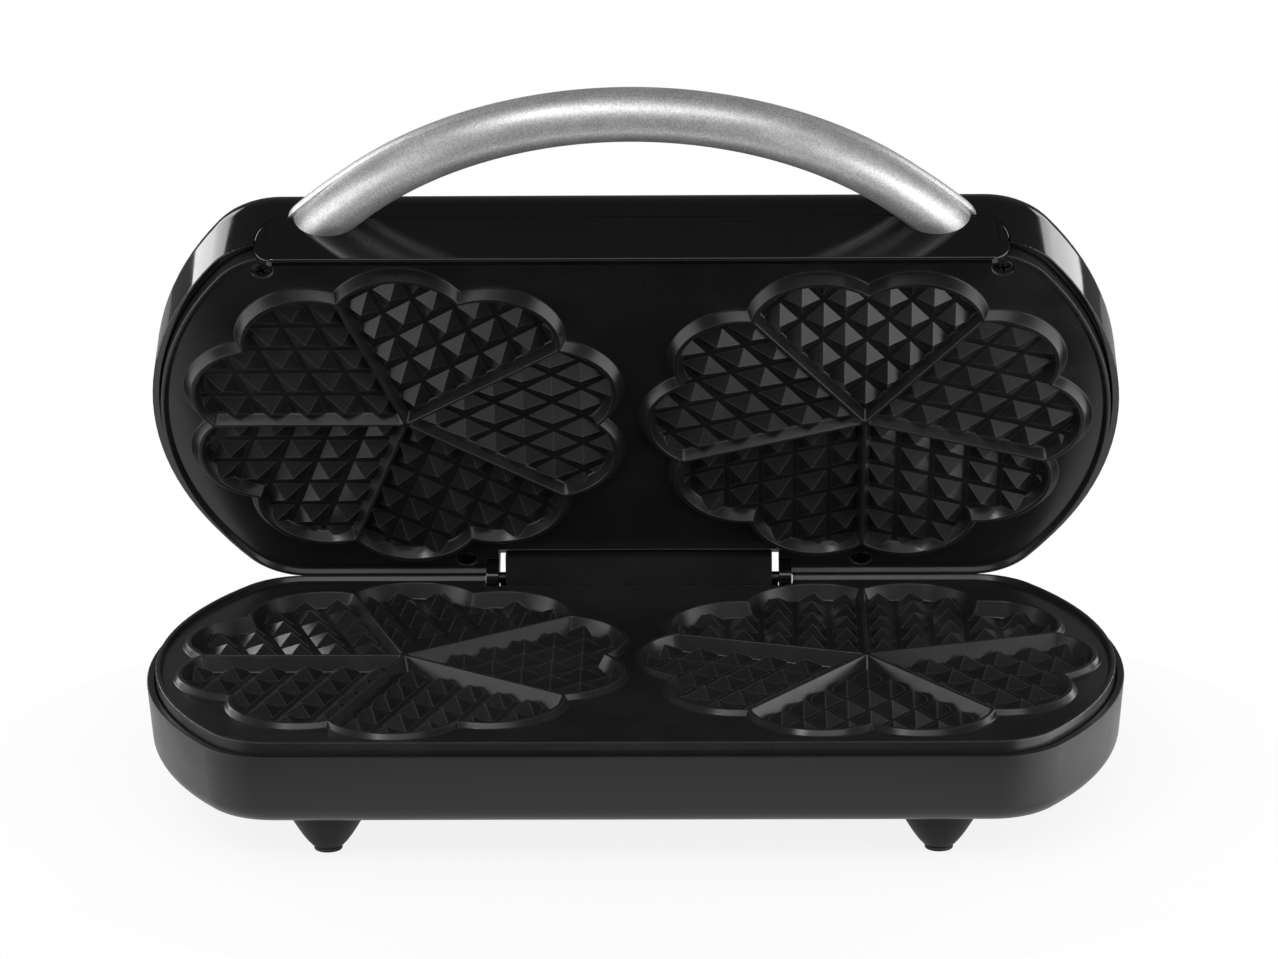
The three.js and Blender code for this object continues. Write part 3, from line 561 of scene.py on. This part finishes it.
def heart_cutter(name, floor, crest, inside, slope):
    """What is cut away for one heart: from a rounded crest down a steep wall to an eased floor, less
    the pyramids that stand on it."""
    crest_radius, floor_radius, corner_radius, half_divider = 0.4, 1.1, 0.8, 0.5
    depth = crest - floor
    lean = atan2(depth, slope)
    flare = crest_radius * tan(lean / 2)
    swings = [lean * i / 4 for i in range(5)]
    profile = [(crest_radius * sin(swing) - flare, crest_radius * (1 - cos(swing))) for swing in swings]
    swings = [lean * (1 - i / 4) for i in range(5)]
    profile += [(slope + floor_radius * (tan(lean / 2) - sin(swing)),
                 depth - floor_radius * (1 - cos(swing))) for swing in swings]
    radius, half = LOBE_RADIUS * inside + flare, half_divider - flare
    centre = LOBE_CENTRE * inside * heading(18) + Vector((0, 0, crest))
    mirror = Vector((1, -1, 1))
    notch = centre.x + sqrt(radius ** 2 - centre.y ** 2)
    begins = degrees(atan2(-centre.y, notch - centre.x))
    ends = 36 + degrees(asin((LOBE_CENTRE * inside * sin(radians(18)) - half) / radius))
    tip = (half / sin(radians(36)), 0, crest)
    shoulder = centre + radius * heading(ends)
    trace(name, (notch, 0, crest), [
        (centre, ends - begins, 22), tip, shoulder * mirror, (centre * mirror, ends - begins, 22),
    ])
    face_down()
    for (across, down), (before, above) in zip(profile[1:], profile):
        step_in(across - before, down - above)
    pick_sharp(30, lambda low, high: high.z - low.z > 0.02)
    round_off(corner_radius, 3)
    close_up()
    pull((0, 0, 0.5))
    cutter = end_edit()
    return combine(cutter, [pyramid_field("pyramids", floor)])


def baking_plate(name, floor, crest, foot, crest_edge, inside, slope, turns, cuts):
    """A whole plate, pattern up: blank with lip and skirt, two bosses, ten hearts, then its cuts."""
    lip_ease, land_ease = 0.3, 0.35
    plan_outline(name, 0, LIP_HEIGHT)
    step_in(LIP_TOP)
    step_in(LIP_SLOPE, -LIP_HEIGHT)
    close_up()
    pull((0, 0, -LIP_HEIGHT - SKIRT))
    step_in(SHEET)
    step_in(0.3, SHEET - SKIRT)
    round_ring(LIP_HEIGHT, lip_ease, 3)
    round_ring(0, land_ease, 3)
    plate = end_edit()
    for x, turn in zip((-POCKET_X, POCKET_X), turns):
        combine(plate, [waffle_boss("boss", x, turn, foot, crest_edge, crest, floor - SHEET)], "UNION")
    heart = heart_cutter("heart", floor, crest, inside, slope)
    hearts = [twin(heart, "heart", (x, 0, 0), radians(turn + SECTOR * i))
              for x, turn in zip((-POCKET_X, POCKET_X), turns) for i in range(5)]
    bpy.data.objects.remove(heart)
    combine(plate, hearts)
    for cut in cuts:
        combine(plate, [cut])
    return plate


def edge_highlight_effect():
    """Where the surface turns sharply within a width, as a mask from 0 to 1 for a painted highlight."""
    tree, given, filled = effect("painted_edge_highlight", [("Width", "NodeSocketFloat")],
                                 [("Mask", "NodeSocketFloat")])
    rounded = node(tree, "ShaderNodeBevel", {"Radius": given["Width"]}, samples=4).outputs["Normal"]
    own = node(tree, "ShaderNodeNewGeometry").outputs["Normal"]
    turn = node(tree, "ShaderNodeVectorMath", {0: rounded, 1: own}, operation="DOT_PRODUCT")
    mask = node(tree, "ShaderNodeMapRange", {
        "Value": turn.outputs["Value"], "From Min": 0.985, "From Max": 0.8, "To Min": 0.0, "To Max": 1.0})
    tree.links.new(mask.outputs["Result"], filled["Mask"])
    return tree


def tint(material, factor, colour, blend_type="MIX"):
    """Lays a colour over a finish's own tones by a factor."""
    tree = material.node_tree
    base = tree.nodes["Principled BSDF"].inputs["Base Color"]
    tree.links.new(mix(tree, factor, base.links[0].from_socket, colour, blend_type), base)


# A painted highlight: the coating is given a lighter colour along its sharp edges and in its creases.
EDGE_HIGHLIGHT = edge_highlight_effect()
HIGHLIGHT_WIDTH, HIGHLIGHT_SHARE = 0.0009, 0.6
non_stick = finish_of("non_stick_coating", (0.011, 0.011, 0.0112), (0.0145, 0.0145, 0.0148),
                      roughness=(0.22, 0.29), grain=0.0003, relief=0.000012, Specular_IOR_Level=0.4)
tree = non_stick.node_tree
# Painted highlight: lighten the coating's colour where the edge mask is high.
highlight_amount = node(tree, "ShaderNodeMath", {
    0: use(tree, EDGE_HIGHLIGHT, Width=HIGHLIGHT_WIDTH), 1: HIGHLIGHT_SHARE}, operation="MULTIPLY")
tint(non_stick, highlight_amount.outputs[0], (0.1, 0.1, 0.101, 1))
lower_plate = baking_plate(
    "lower_baking_plate", floor=-4, crest=2, foot=1.022, crest_edge=1.003, inside=0.984, slope=2.3,
    turns=(0, -90), cuts=[
        block("rear_trim", (-200, 86.2, -20), (200, 100, 10)),
        block("hinge_cut", (-55.3, 79.3, -20.5), (55.3, 100.5, 10.5)),
    ])
settle(lower_plate, "base", 20)
paint(lower_plate, non_stick)
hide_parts("lower_plate")


# ---- Base screws ----
# Four blackened pan-head screws with a cross recess hold the lower plate, deep in their wells under
# the shell.

HEAD_HEIGHT, SEAT = 13.9, -5.6
black_steel = finish_of("blackened_steel", (0.03, 0.03, 0.031), (0.06, 0.06, 0.062),
                        roughness=(0.3, 0.45), grain=0.0003, relief=0.00001, patches=0.003, metallic=1.0)


def cross_recess(name, z, span, width, depth):
    """The cross that a driver fits, tapering as it goes down; z is the height of the head's face."""
    arms = []
    for turn in (0, pi / 2):
        begin(name, bpy.ops.mesh.primitive_cube_add, size=1, location=(0, 0, z))
        bpy.ops.transform.resize(value=(span, width, 2 * depth), center_override=(0, 0, z))
        pick("faces", lambda co: co.z < z - depth + NEAR)
        bpy.ops.transform.resize(value=(0.45, 0.6, 1), center_override=(0, 0, z - depth))
        arm = end_edit()
        arm.rotation_euler.z = turn
        bpy.ops.object.transform_apply(rotation=True)
        arms.append(arm)
    return combine(arms[0], [arms[1]], "UNION")


# The screw is drawn head up, and turned over to be driven from below.
screw = turned("pan_screw", [
    (0, HEAD_HEIGHT), *reversed(arc((1.9, 12.35), 1.5, 0, 70, 5)), (3.4, 11.7), (1.6, 11.7),
    (1.6, 1.2), (1, 0), (0, 0),
], sides=32)
combine(screw, [cross_recess("cross", HEAD_HEIGHT, 3.3, 0.75, 1.4)])
screw.rotation_euler.x = pi
alone(screw)
bpy.ops.object.transform_apply(rotation=True)
for corner, (x, y), turn in zip(CORNERS, BASE_SCREWS, (0.4, 1.1, 0.2, 0.8)):
    made = twin(screw, "pan_screw_" + corner, (x, y, SEAT), turn)
    settle(made, "base", 35)
    paint(made, black_steel)
    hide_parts("base_screw_" + corner)
bpy.data.objects.remove(screw)


# ---- Hinge pins ----
# Two blackened steel pins carry the lid's ears. Their ends are eased, and they are pressed into the
# ends of the tower.

PIN_INNER, PIN_OUTER = 41.0, 53.5
pin = turned("pin", [
    (0, PIN_INNER), (1.6, PIN_INNER), (2, 41.4), (2, 53.0), (1.6, 53.4), (0, PIN_OUTER),
], HINGE.yz, "x", 32)
for side, along in (("left", -PIN_INNER - PIN_OUTER), ("right", 0)):
    made = twin(pin, "ground_pin_" + side, (along, 0, 0))
    settle(made, "base", 40)
    paint(made, black_steel)
    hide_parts("hinge_pin_" + side)
bpy.data.objects.remove(pin)


# ---- Cord bushing ----
# A ribbed bushing of black rubber lines the hole where the mains cord goes in. It is moulded with a
# groove round it, and snaps into the rear wall.

bushing = turned("ribbed_bushing", [
    (3.2, 81.5), (6.2, 81.5), (6.2, 84.4), (5.0, 84.4), (5.0, 90), (6.6, 90),
    *arc((6.5, 90.5), 0.5, -60, 60, 4), (6.6, 91.1), (6.0, 91.3), (6.0, 91.7), (6.2, 92.1), (5.9, 92.5),
    (5.2, 93), (3.5, 93), (3.2, 92.7), (3.2, 81.5),
], (0, -15.5), "y", 48)
settle(bushing, "base", 35)
paint(bushing, rubber)
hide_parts("cord_gland")


# ---- Lid shell ----
# The upper half of the housing is moulded in high-gloss black plastic, deeper and rounder than the
# base. A tunnel across its rear edge clears the tower, a round ear at either end takes a hinge pin,
# and a wide opening in the front wall takes the handle's carrier.

# The lid's pieces are drawn with the lid lying top down, so that its rim faces up.
LID_HINGE = Vector((0, -84.5, 4.5))
LID_RIM, LID_TOP = -2.2, -29.0
RECESS_HALF, RECESS_RADIUS = 50.4, 11.4
EAR_OUTER, EAR_RADIUS = 55.0, 4.3
CARRIER_LOW, CARRIER_HIGH, CARRIER_HALF = -13.1, 6.4, 126.9
PLATE_SCREWS = [(-125, 78), (125, 78), (-62, -79.5), (80, -79.5)]
LENSES = [(-16, 55), (16, 55)]


def carrier_prism(name, grow, near, far):
    """The carrier's outline from the front, with rounder lower corners, between two depths."""
    low, high, half, soft, hard = CARRIER_LOW, CARRIER_HIGH, CARRIER_HALF, 9.7, 7.5
    trace(name, (-half + soft, near, low - grow), [
        (half - soft, near, low - grow),
        ((half - soft, near, low + soft), -90, 10),
        (half + grow, near, high - hard),
        ((half - hard, near, high - hard), -90, 10),
        (hard - half, near, high + grow),
        ((hard - half, near, high - hard), -90, 10),
        (-half - grow, near, low + soft),
        ((soft - half, near, low + soft), -90, 10),
    ], axis=(0, 1, 0))
    pull((0, far - near, 0))
    face_out()
    return end_edit()


def ear(x):
    """A round lug about the hinge axis, with a web that runs into the rear rim."""
    y, z, web_rear, web_low = LID_HINGE.y, LID_HINGE.z, -89.8, -4
    trace("ear", (x, y - EAR_RADIUS, z), [
        (x, web_rear, web_low), (x, y + EAR_RADIUS, web_low), (x, y + EAR_RADIUS, z), ((x, y, z), 180, 20),
    ], axis=(1, 0, 0))
    pull((EAR_OUTER - RECESS_HALF, 0, 0))
    face_out()
    pick_sharp(60, lambda low, high: abs(low.x - high.x) < NEAR and low.z > web_low + 0.1)
    round_off(0.5, 3)
    return end_edit()


gloss_plastic = finish_of("gloss_lid_plastic", (0.0035, 0.0035, 0.0036), (0.0045, 0.0045, 0.0046),
                          roughness=(0.05, 0.09), grain=0.004, relief=0.000002, patches=0.05)
lid_housing = housing("lid_housing", LID_RIM, LID_TOP, draft=2, rounding=10, inner_rounding=7)
tunnel = bar("tunnel", "x", (-RECESS_HALF - 2, RECESS_HALF + 2), RECESS_RADIUS + 2, LID_HINGE.yz, 64)
bore = bar("tunnel_bore", "x", (-RECESS_HALF, RECESS_HALF), RECESS_RADIUS, LID_HINGE.yz, 64)
combine(tunnel, [block("tunnel_room", (-60, -89.7, LID_TOP), (60, -60, -SHEET - 0.3))], "INTERSECT")
combine(lid_housing, [tunnel], "UNION")
combine(lid_housing, [ear(RECESS_HALF), ear(-EAR_OUTER)], "UNION")
combine(lid_housing, [bore])
combine(lid_housing, [
    *[bar("pin_hole", "x", (x, x + 8.1), PIN_HOLE_RADIUS, LID_HINGE.yz) for x in (47.9, -56)],
    *[block("side_slot", (x, -100, -11), (x + 2.4, -70, -2)) for x in (RECESS_HALF - 2.4, -RECESS_HALF)],
    carrier_prism("carrier_opening", 0.25, 80, 95),
    *[bar("lens_hole", "z", (LID_TOP - 1, LID_TOP + 3.6), 3.55, at, 48) for at in LENSES],
])
settle(lid_housing, "lid", 25)
paint(lid_housing, gloss_plastic)
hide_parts("lid_shell")


# ---- Upper baking plate ----
# The same casting and coating as the lower plate, shallower floors under taller dividers, screwed into
# the lid from below through four countersunk holes.

SINK = 3.6
holes = [turned("hole", [
    (0, -6), (2, -6), (2, -2.1), (SINK, -0.4), *arc((SINK + 0.5, -0.4), 0.4, 180, 90, 3),
    (SINK + 0.5, 1), (0, 1),
], at, sides=40) for at in PLATE_SCREWS]
upper_plate = baking_plate(
    "upper_baking_plate", floor=-1, crest=3.4, foot=1.0, crest_edge=0.966, inside=0.946, slope=1.65,
    turns=(0, 90), cuts=[
        block("rear_trim", (-200, -100, -20), (200, -86.65, 10)),
        block("tower_cut", (-RECESS_HALF, -100.5, -20.5), (RECESS_HALF, -74, 10.5)),
        block("ear_cut", (-55.1, -101, -21), (55.1, -79.3, 11)),
        join(holes),
    ])
settle(upper_plate, "lid", 20)
paint(upper_plate, non_stick)
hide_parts("upper_plate")


# ---- Plate screws ----
# Four blackened steel screws with a cross recess hold the upper plate. They are countersunk, and
# driven in a little below its land.

screw = turned("countersunk_screw", [
    (0, -12), (1, -12), (1.6, -11), (1.6, -2.3), (3.35, -0.55), (3.35, -0.35), (3.2, -0.2), (0, -0.1),
], sides=40)
combine(screw, [cross_recess("cross", -0.1, 3.9, 0.85, 1.5)])
for corner, (x, y), turn in zip(CORNERS, PLATE_SCREWS, (0.5, 0.15, 0.9, 0.3)):
    made = twin(screw, "countersunk_screw_" + corner, (x, y, 0), turn)
    settle(made, "lid", 30)
    paint(made, black_steel)
    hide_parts("plate_screw_" + corner)
bpy.data.objects.remove(screw)


# ---- Heater, shield and fuse inside the lid ----
# The lid has the same bent heating tube, bright sheet tray and ceramic fuse as the base. They lie
# between its shell and the upper plate.

for name, material in [("upper_heater", heater_steel), ("upper_heat_shield", bright_sheet),
                       ("upper_thermal_fuse", ceramic)]:
    paint(frame["nodes"][name], material)


# ---- Pilot lamps ----
# Two lenses of clear coloured plastic stand just proud of the lid's top: red for power, green for
# ready. Each is pushed in from inside, up to its flange.

lens = turned("lens", [
    (0, LID_TOP - 1.3), (0.9, LID_TOP - 1.26), (1.8, LID_TOP - 1.1), (2.6, LID_TOP - 0.8),
    (3.1, LID_TOP - 0.45), (3.4, LID_TOP), (3.4, LID_TOP + 2.9), (5, LID_TOP + 2.9),
    (5, LID_TOP + 4.1), (0, LID_TOP + 4.1),
], sides=48)
for name, colour, (x, y), deep, bright in [
        ("power", "red", LENSES[0], (0.32, 0.006, 0.004), (0.42, 0.01, 0.006)),
        ("ready", "green", LENSES[1], (0.008, 0.2, 0.035), (0.012, 0.27, 0.05))]:
    made = twin(lens, name + "_lamp_lens", (x, y, 0))
    settle(made, "lid", 40)
    paint(made, finish_of(name + "_lens_plastic", deep, bright, roughness=(0.08, 0.16), grain=0.0008,
                          relief=0.000004, patches=0.002, Coat_Weight=0.6))
    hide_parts(name + "_lens")
bpy.data.objects.remove(lens)


# ---- Handle carrier ----
# A long gloss black panel follows the lid's plan and fills the opening in its front wall. It carries
# both roots of the handle, and a rail behind it hooks inside the wall and takes the handle's screws.

PANEL_GROW, PANEL_SHEET = 3.3, 2.7
CARRIER_FACE = 87 + PANEL_GROW
plan_outline("handle_panel", PANEL_GROW, CARRIER_LOW - 1)
step_in(PANEL_SHEET)
bpy.ops.mesh.delete(type="FACE")
bpy.ops.mesh.select_all(action="SELECT")
pull((0, 0, CARRIER_HIGH - CARRIER_LOW + 2))
face_out()
panel = end_edit()
combine(panel, [carrier_prism("panel_outline", 0, 83.6, 95)], "INTERSECT")
alone(panel)
bpy.ops.object.mode_set(mode="EDIT")


def on_panel_face(co):
    """Whether a corner is on the panel's outer face, along its straight part or round either end."""
    return co.y > CARRIER_FACE - 0.1 or sqrt((abs(co.x) - 118.95) ** 2 + (co.y - 61) ** 2) > 29.2


pick_sharp(50, lambda low, high: on_panel_face(low) and on_panel_face(high))
round_off(0.9, 5)
bpy.ops.object.mode_set(mode="OBJECT")
combine(panel, [block("bridge", (-112, 85.6, CARRIER_LOW + 0.4), (112, 88, -8.4))], "UNION")
combine(panel, [block("rail", (-112.2, 84.2, CARRIER_LOW - 5), (112.2, 86.6, -8.3))], "UNION")
combine(panel, [bar("screw_hole", "y", (80, 95), 1.6, (x, -10.8), 24) for x in (-103, 103)])
settle(panel, "lid", 25)
paint(panel, gloss_plastic)
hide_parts("handle_carrier")


# ---- Handle ----
# A round arched grip in two moulded halves that meet along its middle, painted metallic silver with a
# fine flake. The front half ends square on the carrier. The rear half is a little wider at its roots,
# where it lands on the lid's wall.

GRIP = 9.0
SEAM, SEAM_EASE = 0.05, 0.12
ARCH = Vector((0, 8.9, -13.3))
ARCH_RADIUS, ARCH_START, ARCH_SWEEP = 131.1, 33, 114
ROOT_SWELL, ROOT_STEPS = 1.3, 12


def grip_half(name, way):
    """Half of the round section, spun about the arch's middle from below one root to below the other."""
    seam = ARCH + Vector((ARCH_RADIUS, 0, way * SEAM))
    trace(name, seam + Vector((GRIP, 0, 0)), [(seam, -180 * way, 26)], axis=(0, 1, 0))
    pick("verts", lambda co: abs(co.z - seam.z) < NEAR)
    bpy.ops.mesh.bevel(offset=SEAM_EASE, segments=2, affect="VERTICES")
    bpy.ops.mesh.select_all(action="SELECT")
    bpy.ops.mesh.delete(type="ONLY_FACE")
    bpy.ops.mesh.select_all(action="SELECT")
    bpy.ops.transform.rotate(value=radians(-ARCH_START), orient_axis="Z", center_override=ARCH)
    bpy.ops.mesh.select_all(action="SELECT")
    bpy.ops.mesh.spin(steps=ARCH_SWEEP, angle=-radians(ARCH_SWEEP), center=ARCH, axis=(0, 0, 1))
    close_up()
    face_out()


def flake_effect():
    """The random tilt of metal flakes in paint, as a tone from 0 to 1 for each tiny cell."""
    tree, given, filled, scale = texture_effect("metal_flake", "Tone")
    cells = node(tree, "ShaderNodeTexVoronoi", {"Vector": given["Vector"], "Scale": scale})
    grey = node(tree, "ShaderNodeRGBToBW", {"Color": cells.outputs["Color"]})
    tree.links.new(grey.outputs[0], filled["Tone"])
    return tree


grip_half("grip_front", 1)
grip_front = end_edit()
combine(grip_front, [block("carrier_room", (-160, -50, -40), (160, CARRIER_FACE + 0.1, 40))])
settle(grip_front, "lid", 30)

# Ring by ring, the rear half's section grows towards its roots.
grip_half("grip_rear", -1)
for step in range(ROOT_STEPS):
    for side in (-1, 1):
        angle = radians(ARCH_START + 1 + step)
        ring = ARCH + ARCH_RADIUS * Vector((side * cos(angle), sin(angle), 0))
        across = Vector((-side * sin(angle), cos(angle), 0))
        pick("verts", lambda co: abs((co - ring).dot(across)) < 0.3 and (co - ring).length < 15)
        grown = 1 + ROOT_SWELL / GRIP * min(1, (1 - (step / ROOT_STEPS)) * 1.15) ** 1.5
        bpy.ops.transform.resize(value=(grown, grown, grown), center_override=ring)
grip_rear = end_edit()

# A solid a little larger than the lid's wall trims the roots where they land on it.
plan_outline("lid_wall", 3.2, LID_RIM, up=False)
step_in(26.4 * tan(radians(2)), 26.5)
close_up()
combine(grip_rear, [end_edit()])
combine(grip_rear, [block("root_room", (-160, -50, -60), (160, 84, 40))])
settle(grip_rear, "lid", 30)

FLAKE = flake_effect()
FLAKE_SIZE, DARK_FLAKE, BRIGHT_FLAKE = 0.00045, 0.74, 1.24
silver_paint = finish_of("metallic_silver_paint", (0.76, 0.76, 0.765), (0.82, 0.82, 0.825),
                         roughness=(0.46, 0.52), grain=0.0005, relief=0.000008, patches=0.02,
                         metallic=0.9, Coat_Weight=0.3, Coat_Roughness=0.06)
tree = silver_paint.node_tree
where = node(tree, "ShaderNodeTexCoord").outputs["Object"]
flakes = node(tree, "ShaderNodeMapRange", {
    "Value": use(tree, FLAKE, Vector=where, Size=FLAKE_SIZE), "To Min": DARK_FLAKE, "To Max": BRIGHT_FLAKE})
tint(silver_paint, 1.0, flakes.outputs["Result"], "MULTIPLY")
for piece, name in ((grip_front, "handle_front"), (grip_rear, "handle_rear")):
    paint(piece, silver_paint)
    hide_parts(name)


# ---- Handle screws ----
# Two plain steel screws hold the handle. They pass through the carrier's rail into its roots, out of
# sight behind the upper plate.

for side in ("left", "right"):
    paint(frame["nodes"]["handle_screw_" + side], steel)


# ---- Studio ----
# A small oval white table in a dark room, whose curtain only reflections see. Two tall soft boxes and
# a dim low strip stand behind, two low boxes close by on either side, and a wide lamp hangs above and
# in front with a small one beside it. What the camera sees round the table is plain white.

MIDDLE = (0, 0, 0.1)
TABLE_MIDDLE, TABLE_HALVES = (0, -0.01, 0), (0.24, 0.19, 1)
GLOW_SHARE = 0.86
LOW_SKY, HIGH_SKY, HORIZON = 0.08, 0.55, 0.05


def seen_straight(tree):
    """1 for what the camera sees, itself or in a mirror or through glass, and 0 for stray light."""
    seen = node(tree, "ShaderNodeLightPath").outputs
    seen_or_mirrored = node(tree, "ShaderNodeMath", {
        0: seen["Is Camera Ray"], 1: seen["Is Glossy Ray"]}, operation="MAXIMUM")
    return node(tree, "ShaderNodeMath", {
        0: seen_or_mirrored.outputs[0], 1: seen["Is Transmission Ray"]}, operation="MAXIMUM").outputs[0]


def soft_box(name, place, aim, width, height, power):
    """A soft rectangular lamp that faces a point."""
    bpy.ops.object.select_all(action="DESELECT")
    bpy.ops.object.light_add(type="AREA", location=place)
    lamp = bpy.context.object
    lamp.name = lamp.data.name = name
    lamp.data.shape, lamp.data.size, lamp.data.size_y = "RECTANGLE", width, height
    lamp.data.energy = power
    lamp.rotation_euler = (Vector(aim) - Vector(place)).to_track_quat("-Z", "Y").to_euler()


begin("table", bpy.ops.mesh.primitive_circle_add, vertices=96, radius=1, fill_type="NGON",
      location=TABLE_MIDDLE)
bpy.ops.transform.resize(value=TABLE_HALVES, center_override=TABLE_MIDDLE)
table = end_edit()
white = bpy.data.materials.new("white_table")
white.use_nodes = True
tree = white.node_tree
tree.nodes.remove(tree.nodes["Principled BSDF"])
share = node(tree, "ShaderNodeMath", {0: seen_straight(tree), 1: GLOW_SHARE}, operation="MULTIPLY")
shaded = node(tree, "ShaderNodeBsdfDiffuse", {"Color": (0.9, 0.9, 0.9, 1)})
glow = node(tree, "ShaderNodeEmission", {"Color": (1, 1, 1, 1), "Strength": 1.0})
both = node(tree, "ShaderNodeMixShader", {0: share.outputs[0], 1: shaded.outputs[0], 2: glow.outputs[0]})
tree.links.new(both.outputs[0], tree.nodes["Material Output"].inputs["Surface"])
paint(table, white)

begin("curtain", bpy.ops.mesh.primitive_uv_sphere_add, segments=32, ring_count=16, radius=4)
curtain = end_edit()
dark = bpy.data.materials.new("dark_curtain")
dark.use_nodes = True
for key, value in {"Base Color": (0.02, 0.02, 0.02, 1), "Roughness": 1.0,
                   "Emission Color": (1, 1, 1, 1), "Emission Strength": 0.1}.items():
    dark.node_tree.nodes["Principled BSDF"].inputs[key].default_value = value
paint(curtain, dark)
curtain.visible_camera = curtain.visible_shadow = False
curtain.visible_diffuse = curtain.visible_transmission = False

sky = bpy.data.worlds.new("white_surround")
sky.use_nodes = True
bpy.context.scene.world = sky
tree = sky.node_tree
towards = node(tree, "ShaderNodeTexCoord").outputs["Generated"]
height = node(tree, "ShaderNodeSeparateXYZ", {"Vector": towards}).outputs["Z"]
above = node(tree, "ShaderNodeMapRange", {
    "Value": height, "From Min": -HORIZON, "From Max": HORIZON, "To Min": LOW_SKY, "To Max": HIGH_SKY})
level = node(tree, "ShaderNodeMix", {"Factor": seen_straight(tree), "A": above.outputs["Result"], "B": 1.0})
tree.links.new(level.outputs["Result"], tree.nodes["Background"].inputs["Strength"])
tree.nodes["Background"].inputs["Color"].default_value = (1, 1, 1, 1)

for name, place, aim, width, height, power in [
        ("left_rear_box", (-1.03, 0.99, 0.54), MIDDLE, 0.46, 0.8, 4.2),
        ("right_rear_box", (1.03, 1.03, 0.46), MIDDLE, 0.42, 0.72, 2.9),
        ("left_side_box", (-0.42, -0.08, 0.07), MIDDLE, 0.5, 0.22, 0.72),
        ("right_side_box", (0.42, -0.1, 0.05), MIDDLE, 0.56, 0.26, 1.25),
        ("low_rear_strip", (0, 0.9, -0.08), MIDDLE, 1.1, 0.16, 0.12),
        ("front_lamp", (0, -1.42, 1.36), MIDDLE, 2.4, 0.64, 13),
        ("small_lamp", (-0.53, -0.82, 1.28), (-0.03, 0, 0.24), 0.16, 0.08, 2.4)]:
    soft_box(name, place, aim, width, height, power)

# The camera stands in front, well above the lid, and looks down at the open plates.
EYE = (0.0318, -1.7131, 0.6452)
yaw, down, roll = radians(1.01), radians(17.48), radians(0.48)
camera = bpy.data.cameras.new("camera")
camera.lens, camera.sensor_width = 147.27, 36
eye = bpy.data.objects.new("camera", camera)
bpy.context.collection.objects.link(eye)
eye.matrix_world = (Matrix.Translation(EYE) @ Matrix.Rotation(yaw, 4, "Z")
                    @ Matrix.Rotation(pi / 2 - down, 4, "X") @ Matrix.Rotation(-roll, 4, "Z"))
bpy.context.scene.camera = eye
bpy.context.scene.view_settings.view_transform = "Standard"
